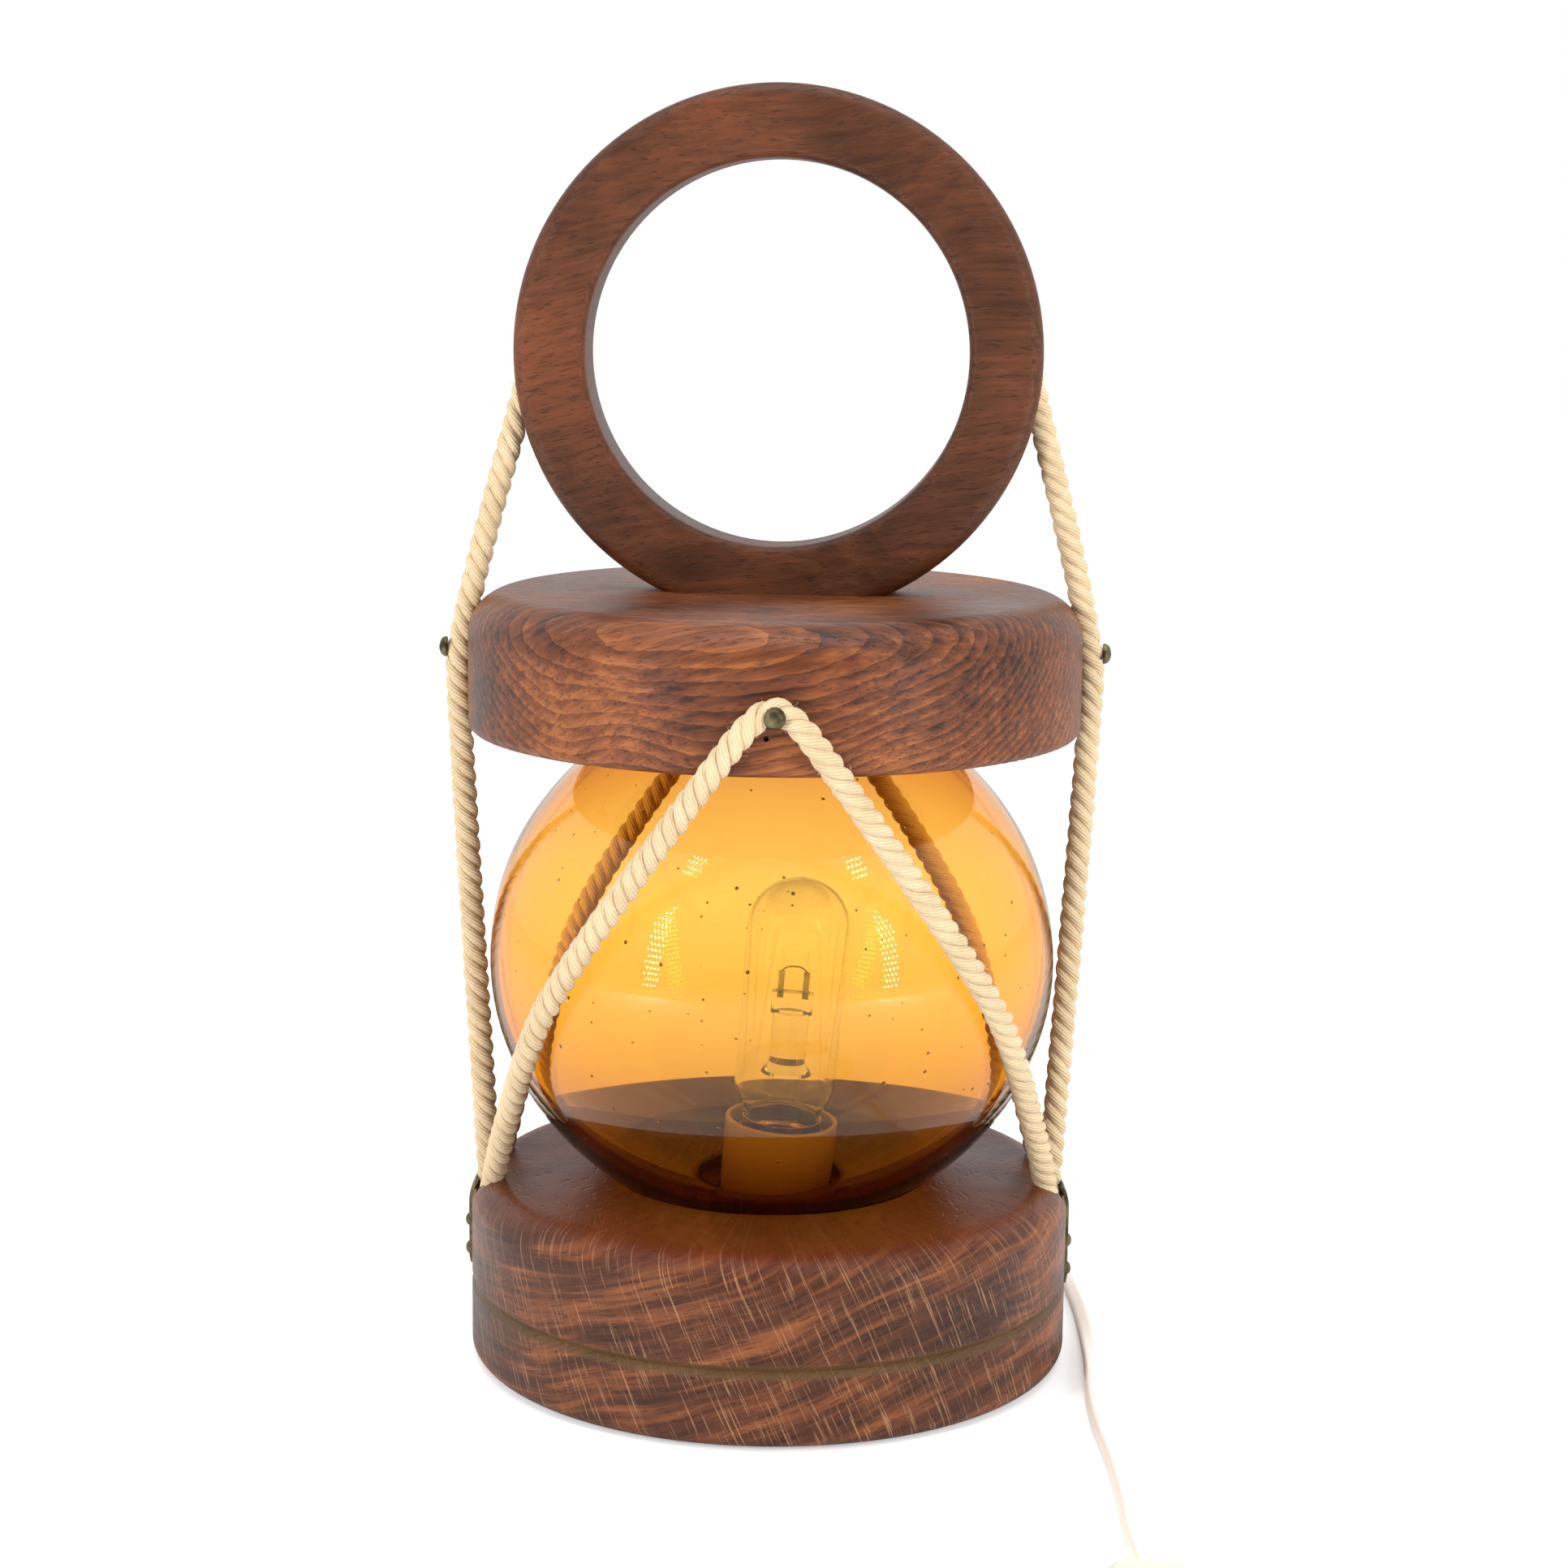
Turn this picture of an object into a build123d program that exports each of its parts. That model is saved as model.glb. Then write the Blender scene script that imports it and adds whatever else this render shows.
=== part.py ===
from build123d import *
import math
import os

# Ship lantern: a blown glass globe held between a turned wooden base and a
# turned top disc by three lengths of laid cotton rope, with a wooden ring as
# its handle and a lampholder with a tubular bulb inside.
# Millimetres.  Origin at the centre of the underside, +Z up, front at -Y.

# ------------------------------------------------------------ driving sizes
# turned base
BASE_R = 99.5
BASE_H = 61.0
BASE_SHOULDER = 11.5
BASE_EDGE = 4.0
GROOVE_Z = 25.5
GROOVE_W = 4.0
GROOVE_DEPTH = 1.6
CAVITY_R = 34.0
CAVITY_H = 22.0
FELT_INSET = 7.5
FELT_T = 2.0
FELT_RECESS = 1.2

# glass globe, a spheroid with an open mouth underneath
GLOBE_R = 93.0
GLOBE_HALF_H = 89.0
GLOBE_SINK = 16.0
GLASS_WALL = 3.0
GLASS_FOOT = 6.0
MOUTH_ROOM = 5.5
SEAT_GAP = 0.3

# turned top disc
DISC_R = 100.0
DISC_SINK = 13.0
DISC_T = 45.0
DISC_SHOULDER = 14.0
DISC_EDGE = 3.0

# ring handle, a turned ring with a flat foot
RING_R = 85.0
RING_EYE_R = 61.5
RING_T = 24.0
RING_ROUND = 5.0
RING_EYE_ROUND = 3.0
RING_FOOT_HALF = 36.5
RING_TURN = -4.5
RING_SCREW_X = 22.0
RING_SCREW_R = 2.25
RING_SCREW_BITE = 14.0
SCREW_HEAD_R = 4.4
SCREW_HEAD_H = 2.8

# rope and the nails that pin it
ROPE_D = 7.0
ROPE_GAP = 0.2
POCKET_INSET = 6.2
POCKET_GAP = 0.7
POCKET_ROPE_Y = 9.3
POCKET_DEPTH = 16.0
ROPE_LEAN = 17.0
ROPE_HOLE_DEPTH = 14.0
ROPE_ENTRY_DROP = 16.0
SCOOP_GAP = 1.0
NAIL_HEAD_R = 3.35
NAIL_HEAD_H = 2.2
NAIL_SHANK_R = 0.9
NAIL_LENGTH = 24.0
SIDE_NAIL_RISE = 25.5
FRONT_NAIL_RISE = 19.3
NAIL_HOLE_GAP = 0.04
STRAY_HOLE_R = 0.8
STRAY_HOLE_DEPTH = 3.0
STRAY_HOLE_ANGLE = -91.4
STRAY_HOLE_RISE = 12.0

# metal straps over the rope ends
STRAP_W = 12.0
STRAP_T = 1.0
STRAP_POINT = 5.0
STRAP_LAP = 0.7
STRAP_TIP_Z = {"left": 26.0, "right": 21.0}
STRAP_NAIL_R = 2.2
STRAP_NAIL_H = 1.5
STRAP_NAIL_STEPS = (5.4, 15.2)
STRAP_NAIL_LENGTH = 11.0

# lampholder and bulb, on one axis that leans a little to the right
LAMP_LEAN = 4.2
HOLDER_SINK = 17.5
HOLDER_R = 19.0
HOLDER_WALL = 1.8
HOLDER_CAP_H = 6.5
HOLDER_H = 32.0
HOLDER_CLEARANCE = 1.5
THREAD_R = 13.7
THREAD_WALL = 0.6
BULB_R = 17.0
BULB_GLASS_H = 84.0
BULB_WALL = 0.9
THREAD_PLAY = 0.5
STEM_RISE = 16.0
PINCH_RISE = 37.0
PINCH_H = 7.5
LEAD_X = 4.2
NIPPLE_R = 5.0
NIPPLE_BORE_R = 3.5
NUT_H = 4.0
NUT_FLATS_R = 8.0
WASHER_R = 10.0
WASHER_T = 1.5

# mains cord, a flat twin flex with its wide side upright
CORD_D = 5.2
CORD_ANGLE = 70.0
CORD_Z = 12.0
CORD_HOLE_R = 4.4
RELIEF_LENGTH = 22.0
RELIEF_FLANGE_R = 7.0
RELIEF_FLANGE_T = 2.0
RELIEF_STEM = 15.0
CORD_TAIL_END = 21.0
GRIP_FROM_AXIS = 27.0
GRIP_W = 18.0
GRIP_L = 8.0
GRIP_SCREW_X = (-6.0, 6.0)
GRIP_SCREW_R = 1.4
COIL_CENTRE = (68.0, -326.0)
COIL_OUTER_R = 38.6
COIL_INNER_R = 19.4
COIL_H = 10.6
WIRE_R = 1.1

# in-line rocker switch
SWITCH_CENTRE = (104.0, -234.0)
SWITCH_L = 60.0
SWITCH_W = 24.0
SWITCH_H = 15.0
SWITCH_SPLIT = 7.0
SWITCH_WALL = 1.8
SWITCH_CORNER = 8.0
SWITCH_CORD_Z = 6.0
SWITCH_SCREW_AT = (7.6, 20.5)
SWITCH_BOSS_R = 3.0
SWITCH_SCREW_HOLE_R = 1.3
ROCKER_L = 21.0
ROCKER_W = 10.4
ROCKER_TILT = 8.0
ROCKER_PIVOT_Z = 11.0
ROCKER_PIN_R = 1.0

# two-pin plug
PLUG_END = (34.0, -362.0, 7.0)
PLUG_L = 36.0
PLUG_W = 35.0
PLUG_T = 13.6
PLUG_NECK = 9.0
PIN_R = 2.0
PIN_L = 19.0
PIN_PITCH = 18.6

# ------------------------------------------------------------ worked out
ROPE_R = ROPE_D / 2
CORD_R = CORD_D / 2
GLOBE_Z = BASE_H - GLOBE_SINK + GLOBE_HALF_H
GLOBE_MOUTH_R = HOLDER_R + MOUTH_ROOM
DISC_BOTTOM = GLOBE_Z + GLOBE_HALF_H - DISC_SINK
DISC_TOP = DISC_BOTTOM + DISC_T
SIDE_NAIL_Z = DISC_BOTTOM + SIDE_NAIL_RISE
FRONT_NAIL_Z = DISC_BOTTOM + FRONT_NAIL_RISE
STRAY_HOLE_Z = DISC_BOTTOM + STRAY_HOLE_RISE
RING_Z = DISC_TOP + math.sqrt(RING_R**2 - RING_FOOT_HALF**2)
BASE_UNDERSIDE = FELT_T - FELT_RECESS
FELT_R = BASE_R - FELT_INSET
POCKET_X = BASE_R - POCKET_INSET
POCKET_W = ROPE_D + 2 * POCKET_GAP
POCKET_HALF_Y = POCKET_ROPE_Y + ROPE_R + 2 * POCKET_GAP
POCKET_FLOOR = BASE_H - POCKET_DEPTH
LEAN_Z = CAVITY_H
HOLDER_Z = BASE_H - HOLDER_SINK
HOLDER_TOP = HOLDER_Z + HOLDER_H
BULB_CAP_R = THREAD_R - THREAD_PLAY
BULB_TIP = HOLDER_Z + 7.2
CAP_LOW = BULB_TIP + 3.6
CAP_TOP = HOLDER_TOP + 0.5
BULB_TOP = CAP_TOP + BULB_GLASS_H
STEM_FOOT = CAP_TOP + STEM_RISE
PINCH_LOW = CAP_TOP + PINCH_RISE
PINCH_TOP = PINCH_LOW + PINCH_H
RELIEF_TIP = BASE_R + 0.5 + RELIEF_FLANGE_T + RELIEF_LENGTH

ON_FLOOR = (Align.CENTER, Align.CENTER, Align.MIN)

os.makedirs("parts", exist_ok=True)


def save(name, shape):
    """Write one node, as one solid or as a group of separate solids."""
    solids = shape.solids()
    shape = solids[0] if len(solids) == 1 else Compound(children=list(solids))
    export_step(shape, f"parts/{name}.step")


def upright(radius, low, high):
    """A cylinder on the Z axis from one height to another."""
    return Pos(0, 0, low) * Cylinder(radius, high - low, align=ON_FLOOR)


def tube(outer, inner, low, high):
    return upright(outer, low, high) - upright(inner, low - 1, high + 1)


def oval_side(radius, half_height, centre_z=0.0, mouth_r=0.0, steps=18):
    """The right-hand side of an upright oval, from its mouth's edge to its top."""
    start = -math.acos(mouth_r / radius)
    sweep_angle = math.pi / 2 - start
    angles = [start + sweep_angle * i / steps for i in range(steps)]
    points = [(radius * math.cos(a), centre_z + half_height * math.sin(a)) for a in angles]
    points.append((0, centre_z + half_height))
    first_way = (-radius * math.sin(start), half_height * math.cos(start))
    return Spline(*points, tangents=[first_way, (-1, 0)])


def spheroid(radius, half_height, z):
    rim = oval_side(radius, half_height)
    half = make_face([rim, Line(rim @ 1, rim @ 0)])
    return Pos(0, 0, z) * revolve(Plane.XZ * half, Axis.Z)


def turned(points):
    """Revolve a closed outline of (radius, height) points about Z."""
    return revolve(Plane.XZ * make_face(Polyline(*points, close=True)), Axis.Z)


def leaning(shape):
    """Tilt a piece of the lamp about the point where its axis leaves the base."""
    return Pos(0, 0, LEAN_Z) * Rot(0, LAMP_LEAN, 0) * Pos(0, 0, -LEAN_Z) * shape


def dome(radius, height):
    """A nail head: a spherical cap that stands on the XY plane."""
    ball = (radius**2 + height**2) / (2 * height)
    return Pos(0, 0, height - ball) * Sphere(ball) & upright(radius + 1, 0, height + 1)


def outward(angle, radius, z):
    """A plane on a round body's side: its normal points outwards at that angle."""
    a = math.radians(angle)
    out = (math.cos(a), math.sin(a), 0)
    return Plane(origin=(radius * out[0], radius * out[1], z), x_dir=(0, 0, 1), z_dir=out)


def shank(plane, radius, length, high=0.0):
    """A nail's shank, or the hole for it, going inwards from a plane."""
    body = Pos(0, 0, -length) * Cylinder(radius, length + high, align=ON_FLOOR)
    return plane * body


# ------------------------------------------------------------ cord and rope routes
def corner_radii(points):
    """An arc for each corner, as large as its two runs allow."""
    radii = []
    for before, here, after in zip(points, points[1:], points[2:]):
        run_in, run_out = here - before, after - here
        half_turn = math.radians(run_in.get_angle(run_out)) / 2
        radii.append(0.45 * min(run_in.length, run_out.length) / math.tan(half_turn))
    return radii


def tube_along(name, points, radius, radii=None):
    """A round tube on straight runs joined by tangent arcs."""
    points = [Vector(*p) for p in points]
    radii = radii or corner_radii(points)
    route = FilletPolyline(*points, radius=radii)
    solid = sweep(Plane(origin=route @ 0, z_dir=route % 0) * Circle(radius), path=route)
    expected = math.pi * radius**2 * route.length
    print(
        f"{name}: length {route.length:.0f}, volume {solid.volume / expected:.4f} of section"
        f" times length, radii {[round(r) for r in radii]}"
    )
    return solid


def side_rope_points(side):
    """From the base pocket over the disc's side and into the ring's edge."""
    lean = math.radians(ROPE_LEAN)
    lay = DISC_R + ROPE_R + ROPE_GAP
    bend = DISC_SHOULDER + ROPE_R + ROPE_GAP
    shoulder_z = DISC_TOP - DISC_SHOULDER
    corner_z = shoulder_z + bend * math.tan(lean / 2)
    entry = ring_entry(side)
    corner = Vector(side * lay, 0, corner_z)
    way = (entry - corner).normalized()
    return [
        Vector(side * POCKET_X, 0, POCKET_FLOOR + ROPE_GAP),
        Vector(side * lay, 0, DISC_BOTTOM + DISC_EDGE),
        corner,
        entry + way * ROPE_HOLE_DEPTH,
    ]


def ring_entry(side):
    """Where a side rope meets the ring's outer edge."""
    a = math.radians(RING_TURN)
    out = side * math.sqrt(RING_R**2 - ROPE_ENTRY_DROP**2)
    return Vector(out * math.cos(a), out * math.sin(a), RING_Z - ROPE_ENTRY_DROP)


def side_rope(name, side):
    points = side_rope_points(side)
    bend = DISC_SHOULDER + ROPE_R + ROPE_GAP
    solid = tube_along(name, points, ROPE_R, [60.0, bend])
    nail = outward(0 if side > 0 else 180, DISC_R, SIDE_NAIL_Z)
    return solid - shank(nail, NAIL_SHANK_R + NAIL_HOLE_GAP, 1, ROPE_D + 2)


def beside_globe(angle, rise, room):
    """A rope's axis beside the globe: its turn from -X, height from the middle, and room."""
    out = GLOBE_R * math.sqrt(1 - (rise / GLOBE_HALF_H) ** 2) + ROPE_R + room
    a = math.radians(angle)
    return (-out * math.cos(a), -out * math.sin(a), GLOBE_Z + rise)


# Half of the front rope's route, from the base pocket up to the nail.  The
# rope leaves its pocket, lies on the globe, and crosses the disc's lower edge.
V_ROPE_HALF = [
    (-POCKET_X + 0.1, -POCKET_ROPE_Y, POCKET_FLOOR + 2 * ROPE_GAP),
    (-POCKET_X + 0.5, -POCKET_ROPE_Y - 1.0, BASE_H - ROPE_R),
    beside_globe(34.41, -23.5, 1.83),
    beside_globe(46.93, 5.0, 2.34),
    (-18.8, -DISC_R - ROPE_R + 1.3, DISC_BOTTOM + 1.8),
    (-4.3, -DISC_R - ROPE_R - 0.3, FRONT_NAIL_Z + 1.7),
]
V_ROPE_RADII = [18.0, 150.0, 130.0, 12.0, 7.5]


def v_rope(name, turn):
    """The front rope, or the back one when it is turned half round."""
    half = V_ROPE_HALF
    points = half + [(-x, y, z) for x, y, z in reversed(half)]
    radii = V_ROPE_RADII + V_ROPE_RADII[::-1]
    solid = tube_along(name, points, ROPE_R, radii)
    nail = outward(-90, DISC_R, FRONT_NAIL_Z)
    solid -= shank(nail, NAIL_SHANK_R + NAIL_HOLE_GAP, 1, ROPE_D + 2)
    return Rot(0, 0, turn) * solid


# ------------------------------------------------------------ wood
def rope_pocket():
    """The cut in the base's shoulder at +X that three rope ends go down into."""
    height = BASE_H - POCKET_FLOOR + 1
    cut = Pos(POCKET_X, 0, POCKET_FLOOR) * Box(
        POCKET_W, 2 * POCKET_HALF_Y, height, align=ON_FLOOR
    )
    start, end = Vector(*V_ROPE_HALF[1]), Vector(*V_ROPE_HALF[2])
    for y in (-1, 1):
        at = Vector(-start.X, y * -start.Y, start.Z)
        way = Vector(start.X - end.X, y * (start.Y - end.Y), end.Z - start.Z)
        scoop = Cylinder(ROPE_R + SCOOP_GAP, 30, align=ON_FLOOR)
        cut += Plane(origin=at, z_dir=way) * (Pos(0, 0, -8) * scoop)
    return cut


def base_block():
    body = upright(BASE_R, BASE_UNDERSIDE, BASE_H)
    rims = body.edges().filter_by(GeomType.CIRCLE).sort_by(Axis.Z)
    body = fillet(rims[-1], BASE_SHOULDER)
    rims = body.edges().filter_by(GeomType.CIRCLE).sort_by(Axis.Z)
    body = fillet(rims[0], BASE_EDGE)
    body -= turned(
        [
            (BASE_R + 2, GROOVE_Z - GROOVE_W / 2 - 2 * GROOVE_W / GROOVE_DEPTH / 2),
            (BASE_R - GROOVE_DEPTH, GROOVE_Z),
            (BASE_R + 2, GROOVE_Z + GROOVE_W / 2 + 2 * GROOVE_W / GROOVE_DEPTH / 2),
        ]
    )
    body -= spheroid(GLOBE_R + SEAT_GAP, GLOBE_HALF_H + SEAT_GAP, GLOBE_Z)
    body -= upright(CAVITY_R, -1, CAVITY_H)
    body -= upright(FELT_R + 0.3, -1, FELT_T)
    body -= leaning(upright(HOLDER_R + HOLDER_CLEARANCE, HOLDER_Z, BASE_H))
    body -= leaning(upright(NIPPLE_R + 0.2, 0, BASE_H))
    body -= leaning(upright(WASHER_R + 1.5, 0, LEAN_Z + 2))
    body -= shank(outward(CORD_ANGLE, BASE_R, CORD_Z), CORD_HOLE_R, BASE_R - CAVITY_R + 5, 2)
    for turn in (0, 180):
        body -= Rot(0, 0, turn) * rope_pocket()
    for plane in strap_nail_planes():
        body -= shank(plane, NAIL_SHANK_R + NAIL_HOLE_GAP, STRAP_NAIL_LENGTH + 0.5)
    for x in GRIP_SCREW_X:
        body -= grip_place() * Pos(x, 0, 0) * upright(GRIP_SCREW_R + NAIL_HOLE_GAP, 0, 9.5)
    return body


def base_felt():
    return upright(FELT_R, 0, FELT_T)


def top_disc():
    body = upright(DISC_R, DISC_BOTTOM, DISC_TOP)
    rims = body.edges().filter_by(GeomType.CIRCLE).sort_by(Axis.Z)
    body = fillet(rims[-1], DISC_SHOULDER)
    rims = body.edges().filter_by(GeomType.CIRCLE).sort_by(Axis.Z)
    body = fillet(rims[0], DISC_EDGE)
    body -= spheroid(GLOBE_R + SEAT_GAP, GLOBE_HALF_H + SEAT_GAP, GLOBE_Z)
    for plane in disc_nail_planes():
        body -= shank(plane, NAIL_SHANK_R + NAIL_HOLE_GAP, NAIL_LENGTH)
    stray = outward(STRAY_HOLE_ANGLE, DISC_R, STRAY_HOLE_Z)
    body -= shank(stray, STRAY_HOLE_R, STRAY_HOLE_DEPTH, 1)
    for place in ring_screw_places():
        body -= place * upright(SCREW_HEAD_R + 0.4, -20, SCREW_HEAD_H)
        body -= place * upright(RING_SCREW_R + NAIL_HOLE_GAP, 0, DISC_T)
    return body


def ring_handle():
    wheel = Cylinder(RING_R, RING_T)
    wheel = fillet(wheel.edges().filter_by(GeomType.CIRCLE), RING_ROUND)
    eye = Cylinder(RING_EYE_R, RING_T)
    wheel -= eye
    rims = wheel.edges().filter_by(GeomType.CIRCLE)
    rims = rims.filter_by(lambda edge: abs(edge.radius - RING_EYE_R) < 0.01)
    wheel = fillet(rims, RING_EYE_ROUND)
    body = Pos(0, 0, RING_Z) * Rot(0, 0, RING_TURN) * Rot(90, 0, 0) * wheel
    body -= upright(2 * RING_R, DISC_TOP - RING_R, DISC_TOP)
    for side in (-1, 1):
        points = side_rope_points(side)
        way = (points[-1] - points[-2]).normalized()
        hole = Cylinder(ROPE_R + ROPE_GAP, 60, align=(Align.CENTER, Align.CENTER, Align.MAX))
        body -= Plane(origin=points[-1] + way * ROPE_GAP, z_dir=way) * hole
    for place in ring_screw_places():
        body -= place * upright(RING_SCREW_R + NAIL_HOLE_GAP, 0, ring_screw_length() + 0.5)
    return body


# ------------------------------------------------------------ glass
def glass_globe():
    """A blown shell: thin at the top and thicker at its foot, round the mouth."""
    inside = GLOBE_R - GLASS_WALL
    inside_half = GLOBE_HALF_H - (GLASS_WALL + GLASS_FOOT) / 2
    rise = (GLASS_FOOT - GLASS_WALL) / 2
    outer = oval_side(GLOBE_R, GLOBE_HALF_H, 0, GLOBE_MOUTH_R)
    inner = oval_side(inside, inside_half, rise, GLOBE_MOUTH_R)
    edges = [outer, Line(outer @ 1, inner @ 1), inner, Line(inner @ 0, outer @ 0)]
    return Pos(0, 0, GLOBE_Z) * revolve(Plane.XZ * make_face(edges), Axis.Z)


# ------------------------------------------------------------ fasteners
def disc_nail_planes():
    planes = [outward(a, DISC_R, SIDE_NAIL_Z) for a in (0, 180)]
    planes += [outward(a, DISC_R, FRONT_NAIL_Z) for a in (-90, 90)]
    return planes


def strap_nail_planes():
    planes = []
    for angle, side in ((0, "right"), (180, "left")):
        for step in STRAP_NAIL_STEPS:
            planes.append(outward(angle, BASE_R, STRAP_TIP_Z[side] + step))
    return planes


def nail(plane, head_r, head_h, length, under_head):
    """A dome-headed nail whose head starts a distance outside the plane."""
    body = plane * (Pos(0, 0, under_head) * dome(head_r, head_h))
    return body + shank(plane, NAIL_SHANK_R, length, under_head + 0.3)


def disc_nails():
    under = ROPE_D + 3 * ROPE_GAP
    inside = NAIL_LENGTH - under - 1
    return Compound(
        children=[nail(p, NAIL_HEAD_R, NAIL_HEAD_H, inside, under) for p in disc_nail_planes()]
    )


def strap_nails():
    under = STRAP_T + 0.1
    return Compound(
        children=[
            nail(p, STRAP_NAIL_R, STRAP_NAIL_H, STRAP_NAIL_LENGTH, under) for p in strap_nail_planes()
        ]
    )


def strap(angle, side):
    """A strip that follows the base's side and shoulder, with a pointed end."""
    inner, outer = BASE_R + 0.05, BASE_R + 0.05 + STRAP_T
    low = STRAP_TIP_Z[side]
    bend = Vector(BASE_R - BASE_SHOULDER, BASE_H - BASE_SHOULDER)
    section = Polyline((inner, low), (outer, low), (outer, bend.Y), (inner, bend.Y), close=True)
    section = make_face(section)
    rim = Pos(bend.X, bend.Y) * (Circle(outer - bend.X) - Circle(inner - bend.X))
    reach = 60.0
    pocket_edge = math.acos((POCKET_X + POCKET_W / 2 - bend.X) / BASE_SHOULDER)
    cut = pocket_edge + math.radians(STRAP_LAP)
    wedge = Polyline(
        (bend.X, bend.Y),
        (bend.X + reach, bend.Y),
        (bend.X + reach, bend.Y + reach * math.tan(cut)),
        close=True,
    )
    section += rim & make_face(wedge)
    half = math.degrees(math.asin(STRAP_W / 2 / BASE_R)) + 1
    body = Rot(0, 0, -half) * revolve(Plane.XZ * section, Axis.Z, 2 * half)
    half_w, top = STRAP_W / 2, BASE_H + 5
    tip = [(half_w, top), (-half_w, top), (-half_w, low + STRAP_POINT)]
    outline = Polyline((0, low), (half_w, low + STRAP_POINT), *tip, close=True)
    body &= extrude(Plane.YZ * make_face(outline), amount=2 * BASE_R)
    body = Rot(0, 0, angle) * body
    for plane in strap_nail_planes():
        body -= shank(plane, NAIL_SHANK_R + NAIL_HOLE_GAP, 1, STRAP_T + 2)
    return body


def ring_screw_places():
    """Each ring screw's head sits in the disc's hollow, clear of the globe."""
    a = math.radians(RING_TURN)
    out = RING_SCREW_X + SCREW_HEAD_R
    hollow = GLOBE_Z + GLOBE_HALF_H * math.sqrt(1 - (out - 2 * SCREW_HEAD_R) ** 2 / GLOBE_R**2)
    x, y = RING_SCREW_X * math.cos(a), RING_SCREW_X * math.sin(a)
    return [Pos(s * x, s * y, hollow + SEAT_GAP + 1) for s in (-1, 1)]


def ring_screw_length():
    return DISC_TOP - ring_screw_places()[0].position.Z + RING_SCREW_BITE


def ring_screws():
    screws = []
    for place in ring_screw_places():
        head = upright(SCREW_HEAD_R, 0, SCREW_HEAD_H)
        head -= Box(2 * SCREW_HEAD_R, 1.0, 2.0)
        screws.append(place * (head + upright(RING_SCREW_R, SCREW_HEAD_H - 0.5, ring_screw_length())))
    return Compound(children=screws)


# ------------------------------------------------------------ lampholder
def holder_cap():
    body = upright(HOLDER_R, HOLDER_Z, HOLDER_Z + HOLDER_CAP_H)
    body -= upright(HOLDER_R - HOLDER_WALL, HOLDER_Z + 2, HOLDER_Z + HOLDER_CAP_H + 1)
    return leaning(body - upright(NIPPLE_R, HOLDER_Z - 1, HOLDER_Z + 3))


def holder_shell():
    body = tube(HOLDER_R, HOLDER_R - HOLDER_WALL, HOLDER_Z + HOLDER_CAP_H, HOLDER_TOP)
    rims = body.edges().filter_by(GeomType.CIRCLE).sort_by(Axis.Z)[-2:]
    return leaning(fillet(rims, HOLDER_WALL * 0.4))


def holder_core():
    radius = HOLDER_R - HOLDER_WALL - 0.4
    body = upright(radius, HOLDER_Z + 2, HOLDER_Z + 5.8)
    body -= upright(NIPPLE_R + 0.1, HOLDER_Z + 1, HOLDER_Z + 4)
    for x in (-4.5, 4.5):
        body -= Pos(x, 0, HOLDER_Z + 3) * Cylinder(WIRE_R + 0.3, 8)
    return leaning(body)


def holder_thread():
    low = HOLDER_Z + 5.8
    body = tube(THREAD_R + THREAD_WALL, THREAD_R, low, HOLDER_TOP - 4)
    return leaning(body + tube(THREAD_R + THREAD_WALL, 9.0, low, low + THREAD_WALL))


def holder_contact():
    low = HOLDER_Z + 5.8
    plate = Pos(0, 0, low + 0.3) * Box(13, 5, 0.6)
    return leaning(plate + Pos(0, 0, low + 0.5) * dome(2.4, 0.7))


def holder_nipple():
    return leaning(tube(NIPPLE_R, NIPPLE_BORE_R, LEAN_Z - 5.5, HOLDER_Z + 2))


def nipple_washer():
    return leaning(tube(WASHER_R, NIPPLE_R + 0.05, LEAN_Z + 2 - WASHER_T, LEAN_Z + 2))


def nipple_nut():
    top = LEAN_Z + 2 - WASHER_T
    body = Pos(0, 0, top - NUT_H) * extrude(RegularPolygon(NUT_FLATS_R, 6), amount=NUT_H)
    return leaning(body - upright(NIPPLE_R, 0, top + 1))


# ------------------------------------------------------------ bulb
def bulb_contact():
    return leaning(upright(3.6, BULB_TIP, BULB_TIP + 0.9))


def bulb_insulator():
    low = BULB_TIP + 0.9
    outline = [(0, low), (4.2, low), (BULB_CAP_R - 0.7, CAP_LOW), (0, CAP_LOW)]
    return leaning(turned(outline))


def bulb_cap():
    """A thin brass cap with the round thread drawn as rings."""
    outline = [(BULB_CAP_R - 1.2, CAP_LOW)]
    pitch = 3.6
    turns = 4
    for i in range(turns):
        z = CAP_LOW + i * pitch
        outline.append((BULB_CAP_R - 0.7, z))
        outline += [(BULB_CAP_R, z + pitch * share) for share in (0.35, 0.65)]
    skirt = CAP_LOW + turns * pitch
    outside, inside = BULB_CAP_R + 0.2, BULB_CAP_R - 0.3
    outline += [(BULB_CAP_R - 0.7, skirt), (outside, skirt + 1), (outside, CAP_TOP)]
    outline += [(inside, CAP_TOP), (inside, skirt + 1.4), (BULB_CAP_R - 1.2, skirt)]
    return leaning(turned(outline))


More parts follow.
